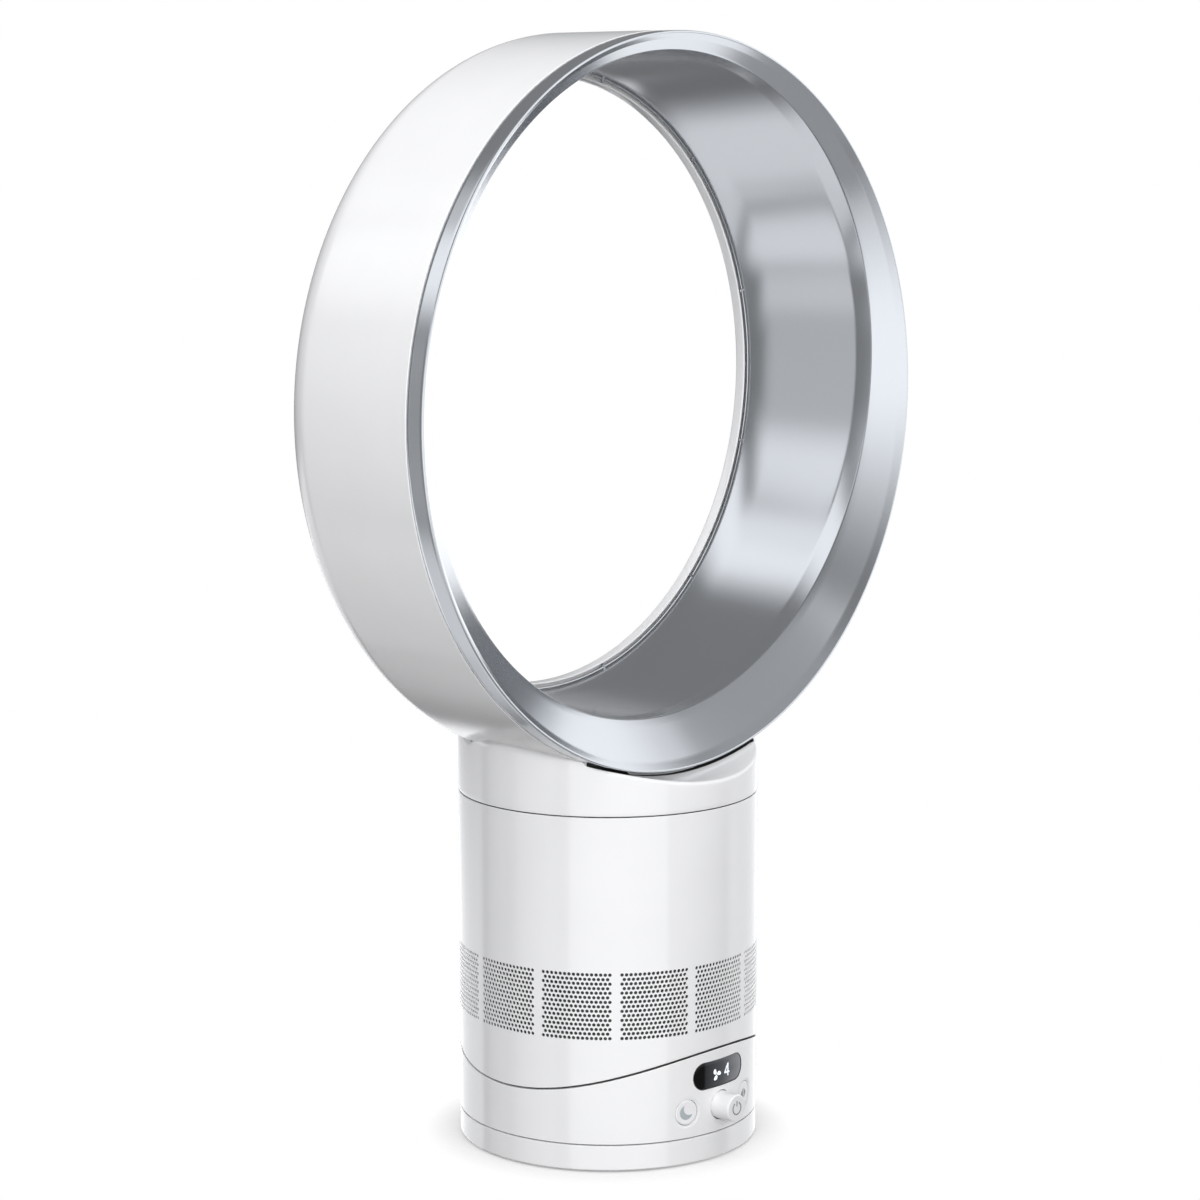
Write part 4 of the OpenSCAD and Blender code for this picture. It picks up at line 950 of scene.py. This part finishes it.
# %% Signs
def thin_sign(name, outlines, place, material, cuts=()):
    """Filled outlines as a thin plate. place(u, v, back) puts its points; cuts let it bend."""
    mesh = bmesh.new()
    corners = {point: mesh.verts.new((*point, 0)) for outline in outlines for point in outline}
    for outline in outlines:
        mesh.faces.new([corners[point] for point in outline])
    if len(cuts):
        bmesh.ops.triangulate(mesh, faces=mesh.faces)
        for cut in cuts:
            bmesh.ops.bisect_plane(mesh, geom=mesh.verts[:] + mesh.edges[:] + mesh.faces[:],
                                   plane_co=(cut, 0, 0), plane_no=(1, 0, 0), dist=1e-5)
        bmesh.ops.recalc_face_normals(mesh, faces=mesh.faces)
    plate = bmesh.ops.extrude_face_region(mesh, geom=mesh.faces[:])
    behind = {v for v in plate["geom"] if isinstance(v, bmesh.types.BMVert)}
    for v in mesh.verts:
        v.co = place(v.co.x, v.co.y, v in behind)
    bmesh.ops.recalc_face_normals(mesh, faces=mesh.faces)
    return from_bmesh(name, mesh, material)


def wall_sign(name, outlines, angle, middle, depth, material, thick=0.06):
    """A thin printed or lit sign that follows the round wall."""
    def place(u, v, back):
        return on_wall(angle, middle, u, v, depth + (thick if back else 0.0))
    return thin_sign(name, outlines, place, material, np.arange(-12, 12, 0.5))

# %% Cut-outs
def cut_out(piece, *cutters):
    """Cuts the cutters out of a piece and removes them."""
    for cutter in cutters:
        modifier = piece.modifiers.new("cut", "BOOLEAN")
        modifier.operation = "DIFFERENCE"
        modifier.solver = "EXACT"
        modifier.object = cutter
    applied(piece)
    for cutter in cutters:
        bpy.data.objects.remove(cutter)

# %% [markdown]
# The control base's casing is a short tube between the foot's seam and the curved tilt seam. It
# has a pill-shaped opening for the display, a round hole for the knob, and two round holes with
# shallow rings for the buttons.

# %% Control casing
CONTROL_Z = 26.8
BUTTON_ANGLE = 17.0
BUTTON_R = 6.2
KNOB_HOLE = 14.8
BUTTON_HOLE = 13.0
RING_RECESS = 7.65
RECESS_DEPTH = 0.25
WINDOW_Z = 43.2
WINDOW = (37.2, 13.8)
FOOT_TOP = 13.4


def below_seam(drop):
    """Height of the base's side of the tilt seam less a drop."""
    return lambda a, r: tilt_seam_z(a, TILT_R + TILT_GAP / 2, r) - drop


control_low = FOOT_TOP + 0.5
control_degrees = np.linspace(0, 360, 480, endpoint=False)
control_rows = wall_end(lambda d: control_low + d) + [(BASE_R, control_low + 2), (BASE_R, below_seam(2))]
control_rows += wall_end(below_seam)[::-1] + [(inner_r, control_low)]
control_casing = skin("control_shell", control_degrees, [control_rows], white_abs)
tidy(control_casing)


def through(length, height, angle, middle):
    """A pill-shaped cutter that goes right through the wall."""
    return wall_pill("cutter", length, height, [(0, -3), (0, 5)], angle, middle, white_abs)


cutters = [through(*WINDOW, 0, WINDOW_Z), through(KNOB_HOLE, KNOB_HOLE, 0, CONTROL_Z)]
for side in (-1, 1):
    cutters.append(through(BUTTON_HOLE, BUTTON_HOLE, side * BUTTON_ANGLE, CONTROL_Z))
    cutters.append(wall_pill("cutter", 2 * RING_RECESS, 2 * RING_RECESS,
                             [(0, -3), (0, RECESS_DEPTH), (1.4, RECESS_DEPTH)],
                             side * BUTTON_ANGLE, CONTROL_Z, white_abs, 96))
cut_out(control_casing, *cutters)
tidy(control_casing, angle=35)
true_round(control_casing, BASE_R)
dress(control_casing, "control_base", "white_shell", "control_casing")
# A black strip at the foot's seam: painted shade.
base_shade_strip = skin("base_seam_shade", control_degrees, [shade_strip_rows(control_low - 0.2, control_low - 0.01)],
                  rubber)
tidy(base_shade_strip)
dress(base_shade_strip, "control_base", "rubber_black")

# %% [markdown]
# The display is a smoked window, nearly flush, in a thin dark ring. Behind it glow a small
# three-bladed fan sign and the number of the speed. The signs are white light seen through smoke.

# %% Display window
def glowing(tree, place):
    noise = add(tree, "ShaderNodeTexNoise", {"Vector": place, "Scale": 1 / (0.8 * MM)})
    tone = add(tree, "ShaderNodeValToRGB", {"Fac": noise.outputs["Fac"]},
               [(0.3, "D7DEE6"), (0.7, "EEF2F6")]).outputs["Color"]
    return add(tree, "ShaderNodeBsdfPrincipled", {
        "Base Color": tone, "Emission Color": tone, "Emission Strength": 0.55,
        "Roughness": 0.4}).outputs[0]


lit_sign = finish_named("White light behind smoked polycarbonate", glowing)
printed_grey = moulded_plastic("Pad-printed grey ink", "7C8084", "76797D", 0.45, 0.2, 1.0)
printed_pale = moulded_plastic("Pad-printed pale grey ink", "B2BABF", "ACB4B9", 0.45, 0.2, 1.0)
bezel_dark = moulded_plastic("Satin dark ABS ring", "26272A", "202124", 0.3, 0.2, 2.0)

BEZEL = 0.35
window_rows = [(0.05, 1.9), (0.05, 0.35), (0.15, 0.2), (0.35, 0.13), (1.5, 0.1), (3.5, 0.08), (6.5, 0.08)]
window = wall_pill("display_glass", WINDOW[0] - 2 * BEZEL, WINDOW[1] - 2 * BEZEL, window_rows, 0,
                   WINDOW_Z, smoked_window_painted_reflection, 128)
dress(window, "control_base", "window_black", "display_window")
bezel = wall_pill("display_bezel", WINDOW[0], WINDOW[1],
                  [(0.02, 1.6), (0.02, 0.06), (0.08, -0.02), (0.22, -0.04), (0.33, 0.02), (BEZEL, 0.3),
                   (BEZEL, 1.6)], 0, WINDOW_Z, bezel_dark, 128, True)
dress(bezel, "control_base", "plastic_grey")


def blade_outline(turn_deg, scale=1.0):
    """One teardrop blade of the fan sign."""
    shape = [(0.25, 0.15), (1.1, 0.75), (1.85, 1.7), (1.95, 2.4), (1.45, 2.85), (0.5, 2.8),
             (-0.35, 2.25), (-0.6, 1.4), (-0.3, 0.6), (0.0, 0.3)]
    c, s = math.cos(math.radians(turn_deg)), math.sin(math.radians(turn_deg))
    return [(scale * (x * c - y * s), scale * (x * s + y * c)) for x, y in shape]


fan_sign = wall_sign("fan_sign", [blade_outline(a) for a in (-60, 60, 180)], -2.4, 42.6, 0.05, lit_sign)
four = [[(0.4, -3.2), (1.35, -3.2), (1.35, -1.7), (1.35, -0.85), (1.35, 3.2), (0.4, 3.2), (0.4, 1.5),
         (0.4, -0.85), (0.4, -1.7)],
        [(-2.0, -1.7), (0.4, -1.7), (0.4, -0.85), (-0.95, -0.85), (-2.0, -0.85)],
        [(1.35, -1.7), (2.1, -1.7), (2.1, -0.85), (1.35, -0.85)],
        [(-2.0, -0.85), (-0.95, -0.85), (0.4, 1.5), (0.4, 3.2)]]
speed_sign = wall_sign("speed_sign", four, 3.6, 43.4, 0.05, lit_sign)
display_signs = joined("display_signs", fan_sign, speed_sign)
dress(display_signs, "control_base", "window_black")

# %% [markdown]
# The power knob turns and is pressed. It is a short round bar with a soft edge, a hardly hollow
# face and a printed on-off sign, and it stands about 10 mm out of the wall.

# %% Power knob
def facing_turned(name, profile, angle, middle, material, columns=128, sharp=35):
    """A profile of (radius, distance from the column's axis) turned about a line out of the wall."""
    t = math.radians(angle)
    out = Vector((math.sin(t), -math.cos(t), 0))
    side = Vector((math.cos(t), math.sin(t), 0))
    up = Vector((0, 0, 1))
    points = []
    for r, distance in profile:
        for k in range(columns):
            a = 2 * math.pi * k / columns
            points.append((out * distance + side * (r * math.cos(a)) + up * (r * math.sin(a) + middle)) * MM)
    piece = mesh_piece(name, points, grid_faces(len(profile), columns), material)
    return tidy(piece, angle=sharp)


KNOB_FACE = BASE_R + 10.3
knob_profile = [(0.001, 69.9), (8.2, 69.9), (8.3, 70.0), (8.3, 71.25), (7.2, 71.35), (7.0, 71.6),
                (6.95, 76), (6.85, 82)]
knob_profile += arc(6.82 - 0.8, KNOB_FACE - 0.8, 0.8, 0, 90, 8)
knob_profile += [(5.0, KNOB_FACE - 0.02), (3.0, KNOB_FACE - 0.05), (0.001, KNOB_FACE - 0.06)]
knob = facing_turned("knob_cap", knob_profile, 0, CONTROL_Z, white_abs)


def stroke_arc(radius, width, start, end, steps=24):
    """The outline of a stroke along an arc."""
    return (arc(0, 0, radius + width / 2, start, end, steps)
            + arc(0, 0, radius - width / 2, end, start, steps))


power_bar = [(-0.3, 1.0), (0.3, 1.0), (0.3, 3.7), (-0.3, 3.7)]
SIGN_FRONT, SIGN_THICK = KNOB_FACE + 0.03, 0.12


def on_knob(u, v, back):
    """A point of the sign on the knob's face, which looks out along -Y."""
    return (u * MM, -(SIGN_FRONT - (SIGN_THICK if back else 0.0)) * MM, (CONTROL_Z + v) * MM)


power_sign = thin_sign("power_sign", [stroke_arc(3.0, 0.64, 120, 420), power_bar], on_knob, printed_grey)
knob = joined("knob_cap", knob, power_sign)
dress(knob, "knob_turn", "white_shell", "power_knob")

# %% [markdown]
# The two side buttons are short round keys, flush with the wall and a little hollow. One carries
# a moon for the sleep timer, the other two arrows for the oscillation.

# %% Side buttons
button_rows = [(-0.1, 3.6), (-0.1, 0.95), (-0.05, 0.85), (0.05, 0.8), (0.05, 0.55), (0.12, 0.4),
               (0.35, 0.28), (0.9, 0.3), (2.5, 0.42), (4.5, 0.5), (6.1, 0.52)]
moon = arc(0, 0, 3.9, 104.1, 345.9, 28) + arc(1.84, 1.84, 3.28, 308, 142, 24)[1:-1]
arrows = [[(-0.5, 2.6), (-3.0, 0.0), (-0.5, -2.6)], [(0.5, -2.6), (3.0, 0.0), (0.5, 2.6)]]
for side, node, body, sign, ink in (
        (-1, "sleep_button", "sleep_key", [moon], printed_pale),
        (1, "oscillation_button", "oscillation_key", arrows, printed_grey)):
    cap = wall_pill(node + "_cap", 2 * BUTTON_R, 2 * BUTTON_R, button_rows, side * BUTTON_ANGLE,
                    CONTROL_Z, white_abs, 96)
    mark = wall_sign(node + "_sign", sign, side * BUTTON_ANGLE, CONTROL_Z, 0.42, ink, 0.2)
    dress(joined(node + "_cap", cap, mark), body, "white_shell", node)

# %% [markdown]
# The foot is a shallow round tray with a rounded lower edge. It stands on a rubber pad and has
# the low-voltage socket at the back.

# %% Foot
FOOT_FLOOR = 2.8
PAD_R, PAD_TOP = 68.15, 1.4
THRUST_WALL = (68, 65, 12.6)    # outside, inside and top of the wall under the slide ring
HUB = (12, 8, 23.4)             # outside, inside and top of the tube in the middle
foot_profile = ([(0, FOOT_FLOOR), (0, PAD_TOP), (PAD_R, PAD_TOP), (PAD_R, 0.6)]
                + arc(BASE_R - 1.2, 1.8, 1.2, -90, 0, 8)
                + wall_end(lambda d: FOOT_TOP - d)[::-1]
                + [(inner_r, FOOT_FLOOR)])
for out_r, in_r, top in (THRUST_WALL, HUB):
    foot_profile += [(out_r, FOOT_FLOOR), (out_r, top), (in_r, top), (in_r, FOOT_FLOOR)]
foot_profile.append((0, FOOT_FLOOR))
foot = turned("foot_tray", foot_profile, white_abs, 384, 40, closed=False)
mouth = facing_turned("cutter", [(0.001, 60), (3.9, 60), (3.9, 80), (0.001, 80)], 180, 7.1, white_abs, 64)
cut_out(foot, mouth)
tidy(foot, angle=40)
true_round(foot, BASE_R)
dress(foot, "foot", "white_shell", "foot_shell")

# %% [markdown]
# The pieces that CAD already has right keep their meshes and only get a finish: the inner
# mechanism, the rubber and the socket. Zinc-plated steel is a pale metal with a fine crystal
# pattern; the boards are green lacquer on glass cloth; the windings are varnished copper.

# %% Metals, board and foam
def patterned(name, texture, inputs, output, stops, smoothest, roughest, metallic=0.0, **settings):
    """A material whose colour and roughness follow one texture."""
    def describe(tree, place):
        pattern = add(tree, texture, {"Vector": place, **inputs}, **settings).outputs[output]
        finish = toned(tree, pattern, stops, smoothest, roughest)
        return add(tree, "ShaderNodeBsdfPrincipled", {**finish, "Metallic": metallic}).outputs[0]
    return finish_named(name, describe)


zinc = patterned("Zinc-plated steel", "ShaderNodeTexVoronoi", {"Scale": 1 / (0.7 * MM)}, "Distance",
                 [(0.0, "B4B7BA"), (0.8, "C6C8CA")], 0.3, 0.42, metallic=1.0)
copper = patterned("Varnished copper winding", "ShaderNodeTexWave",
                   {"Scale": 0.25 / (0.6 * MM), "Distortion": 0.3}, "Fac",
                   [(0.0, "7A3E22"), (1.0, "C27445")], 0.3, 0.45, metallic=0.8, bands_direction="Z")
board = patterned("Green lacquered glass-cloth board", "ShaderNodeTexChecker",
                  {"Scale": 1 / (0.5 * MM)}, "Fac", [(0.0, "1B6037"), (1.0, "226B41")], 0.28, 0.36)


def foam(tree, place):
    """Open cells: light rims and middles darkened by painted shade, with no gloss."""
    cells = add(tree, "ShaderNodeTexVoronoi", {"Vector": place, "Scale": 1 / (1.1 * MM)}
                ).outputs["Distance"]
    # The dark cell middles are painted shade in the hollows.
    tone = add(tree, "ShaderNodeValToRGB", {"Fac": cells}, [(0.1, "1E1F21"), (0.7, "3A3C3F")])
    bump = add(tree, "ShaderNodeBump", {"Height": cells, "Strength": 0.8, "Distance": 0.4 * MM})
    return add(tree, "ShaderNodeBsdfPrincipled", {
        "Base Color": tone.outputs["Color"], "Roughness": 0.95,
        "Normal": bump.outputs["Normal"]}).outputs[0]


finishes = {
    "white_shell": white_abs, "silver_paint": silver, "plastic_grey": grey_abs,
    "plastic_black": black_nylon, "window_black": smoked_window_painted_reflection, "acetal_white": acetal,
    "impeller_ivory": moulded_plastic("Glass-filled ivory nylon", "DCD6C4", "D0CAB8", 0.42, 0.4, 1.5, 0.4),
    "rubber_black": rubber, "foam_grey": finish_named("Open-cell acoustic foam", foam),
    "steel_zinc": zinc, "motor_copper": copper, "board_green": board,
}
for row in frame["record"]["subparts"]:
    shown = frame["nodes"][row["node"]]
    if not shown.data.materials:
        shown.data.materials.append(None)
    for place in shown.material_slots:
        place.link = "OBJECT"
        place.material = finishes[row["material_slot"]]

# %% [markdown]
# The fan stands on a white floor that runs out of sight into a white backdrop. The camera sees
# both as plain white, but near the foot it also sees the real floor, which keeps the soft contact
# shadow. Mirror rays go on through the floor, so the glossy column shows the lamps down to its
# foot, as it does when such a product stands on a small table between the lamps.

# %% Floor
WHITE = (1, 1, 1, 1)
FLOOR_HALF = 9
SHADOW_FROM, SHADOW_TO = 73 * MM, 92 * MM


def floor_finish(tree, place):
    """White to the camera away from the fan, real matt paper near it, clear to mirror rays."""
    path = add(tree, "ShaderNodeLightPath").outputs
    noise = add(tree, "ShaderNodeTexNoise", {"Vector": place, "Scale": 1 / (400 * MM)})
    tone = add(tree, "ShaderNodeValToRGB", {"Fac": noise.outputs["Fac"]},
               [(0.3, "F4F4F4"), (0.7, "F8F8F8")]).outputs["Color"]
    paper = add(tree, "ShaderNodeMix", {
        "Factor": path["Is Camera Ray"], "A": linear("5A5A5A"), "B": tone}, data_type="RGBA")
    matt = add(tree, "ShaderNodeBsdfDiffuse", {"Color": paper.outputs["Result"]}).outputs[0]
    white = add(tree, "ShaderNodeEmission", {"Color": WHITE, "Strength": 1.0}).outputs[0]
    away = add(tree, "ShaderNodeVectorMath", {0: place}, operation="LENGTH").outputs["Value"]
    share = add(tree, "ShaderNodeMapRange", {
        "Value": away, "From Min": SHADOW_FROM, "From Max": SHADOW_TO, "To Min": 0.25, "To Max": 1.0}
        ).outputs["Result"]
    amount = add(tree, "ShaderNodeMath", {0: path["Is Camera Ray"], 1: share}, operation="MULTIPLY")
    seen = add(tree, "ShaderNodeMixShader", {0: amount.outputs[0], 1: matt, 2: white}).outputs[0]
    clear = add(tree, "ShaderNodeBsdfTransparent").outputs[0]
    return add(tree, "ShaderNodeMixShader", {0: path["Is Glossy Ray"], 1: seen, 2: clear}).outputs[0]


corners = [(x * FLOOR_HALF, y * FLOOR_HALF, 0) for x, y in ((-1, -1), (1, -1), (1, 1), (-1, 1))]
floor = mesh_piece("floor", corners, [(0, 1, 2, 3)], finish_named("Matt white floor", floor_finish))
print("floor", 2 * FLOOR_HALF, "m wide")

# %% [markdown]
# What a glossy column and a silver ring show is their studio. Its lamps, walls and dark gaps were
# worked out from the reflections in the photograph, and each is a soft-edged panel with angles to
# the right of the camera and above the horizon. A panel is four soft steps multiplied, and where
# two overlap the brighter one wins. Only mirror rays see the panels: other rays find an even grey
# room, and the camera finds white.

# %% Studio
ROOM = 0.47
DARK = 0.24
# From and to in degrees to the right of the camera, softness of those edges, from and to in degrees
# above the horizon, softness of those edges, brightness beside the white floor.
STUDIO = [
    (-29.5, 46.7, 2, -36, 14, 20, 1.9),      # large front softbox
    (-88, -42, 4, -62, -34, 6, 1.4),         # left softbox, its foot
    (-77, -42, 3, -38, -18, 8, 1.15),        # its lower third
    (-73.5, -42, 3, -30, 22, 8, 0.86),       # its darker middle
    (-76, -42, 4, 12, 60, 12, 1.6),          # its upper third
    (-130, -94, 2.5, -60, -24, 8, 1.2),      # second softbox on the left, lower third
    (-104, -86, 1.5, -26, 16, 6, 0.6),       # its darker middle
    (-104, -84, 3, 20, 60, 6, 1.8),          # its upper third
    (-112, -58, 10, 38, 60, 7, 1.55),        # ceiling lamp on the left
    (-158, -96, 14, -76, -44, 8, 1.3),       # table on the left
    (-174, -113, 4, -34, -11, 4, 1.9),       # strip behind on the left
    (46, 112, 10, -80, 80, 10, 0.5),         # grey wall on the right
    (50, 112, 6, -11.5, 34, 1.5, 1.75),      # high window on the right
    (105, 172, 8, -58, 34, 10, 1.8),         # white backdrop behind on the right
]

# %% The world's nodes
world = bpy.data.worlds.new("studio")
scene.world = world
world.use_nodes = True
sky = world.node_tree
sky.nodes.clear()
looking = add(sky, "ShaderNodeVectorRotate", {
    "Vector": add(sky, "ShaderNodeTexCoord").outputs["Generated"], "Angle": -turn}, rotation_type="Z_AXIS")
part = add(sky, "ShaderNodeSeparateXYZ", {"Vector": looking.outputs["Vector"]}).outputs
before = add(sky, "ShaderNodeMath", {0: part["Y"], 1: -1.0}, operation="MULTIPLY").outputs[0]
across = add(sky, "ShaderNodeMath", {0: part["X"], 1: before}, operation="ARCTAN2").outputs[0]
above = add(sky, "ShaderNodeMath", {0: part["Z"]}, operation="ARCSINE").outputs[0]
mirrored = DARK
for left, right, soft, low, high, fade, brightness in STUDIO:
    cover = brightness - DARK
    for angle, edge, width, rising in ((across, left, soft, True), (across, right, soft, False),
                                       (above, low, fade, True), (above, high, fade, False)):
        slope = add(sky, "ShaderNodeMapRange", {
            "Value": angle, "From Min": math.radians(edge - width), "From Max": math.radians(edge + width),
            "To Min": 0.0 if rising else 1.0, "To Max": 1.0 if rising else 0.0},
            interpolation_type="SMOOTHSTEP").outputs["Result"]
        cover = add(sky, "ShaderNodeMath", {0: slope, 1: cover}, operation="MULTIPLY").outputs[0]
    panel = add(sky, "ShaderNodeMath", {0: cover, 1: DARK}, operation="ADD").outputs[0]
    mirrored = add(sky, "ShaderNodeMath", {0: panel, 1: mirrored}, operation="MAXIMUM").outputs[0]
sky_path = add(sky, "ShaderNodeLightPath").outputs
lit = add(sky, "ShaderNodeMix", {
    "Factor": sky_path["Is Glossy Ray"], "A": ROOM, "B": mirrored}).outputs["Result"]
seen = add(sky, "ShaderNodeMath", {
    0: sky_path["Is Camera Ray"], 1: sky_path["Is Transmission Ray"]}, operation="MAXIMUM").outputs[0]
level = add(sky, "ShaderNodeMix", {"Factor": seen, "A": lit, "B": 1.0}).outputs["Result"]
tint = add(sky, "ShaderNodeMix", {"Factor": seen, "A": linear("FBFCFE"), "B": WHITE},
           data_type="RGBA").outputs["Result"]
room = add(sky, "ShaderNodeBackground", {"Color": tint, "Strength": level}).outputs[0]
add(sky, "ShaderNodeOutputWorld", {"Surface": room})
print("studio of", len(STUDIO), "panels")

# %% [markdown]
# The lamps are the same softboxes as light for the matt part of each surface: two upright panels
# 2 m in front and one overhead. Their mirror images are already in the world, so they don't show
# in mirror rays a second time. The table gives angles from the camera to the right, the heights
# of the edges in metres, and the brightness beside the white floor.

# %% Lamps
LAMP_DISTANCE = 2.0
OVERHEAD_Z = 2.4


def softbox(name, start, end, low, high, brightness):
    """An upright lamp panel that faces the fan, between two angles and two heights."""
    width = 2 * LAMP_DISTANCE * math.tan(math.radians(end - start) / 2)
    lamp = bpy.data.lights.new(name, "AREA")
    lamp.shape = "RECTANGLE"
    lamp.size, lamp.size_y = width, high - low
    lamp.energy = brightness * math.pi * width * (high - low)
    holder = bpy.data.objects.new(name, lamp)
    scene.collection.objects.link(holder)
    middle = turn + math.radians((start + end) / 2)
    holder.location = (LAMP_DISTANCE * math.sin(middle), -LAMP_DISTANCE * math.cos(middle), (low + high) / 2)
    holder.rotation_euler = (math.radians(90), 0, middle)
    holder.visible_camera = False
    holder.visible_glossy = False
    return holder


softbox("front left softbox", -29.5, 8, 0.2, 1.0, 5.8)
softbox("front right softbox", 8, 46.7, 0.2, 1.0, 3.6)
overhead = softbox("overhead softbox", -30, 30, -1.2, 1.2, 1.6)
overhead.location = (0, 0, OVERHEAD_Z)
overhead.rotation_euler = (0, 0, turn)
print("lamps", [lamp.name for lamp in bpy.data.lights])

# %% [markdown]
# The Standard view transform shows a colour as it is written.

# %% View
scene.view_settings.view_transform = "Standard"
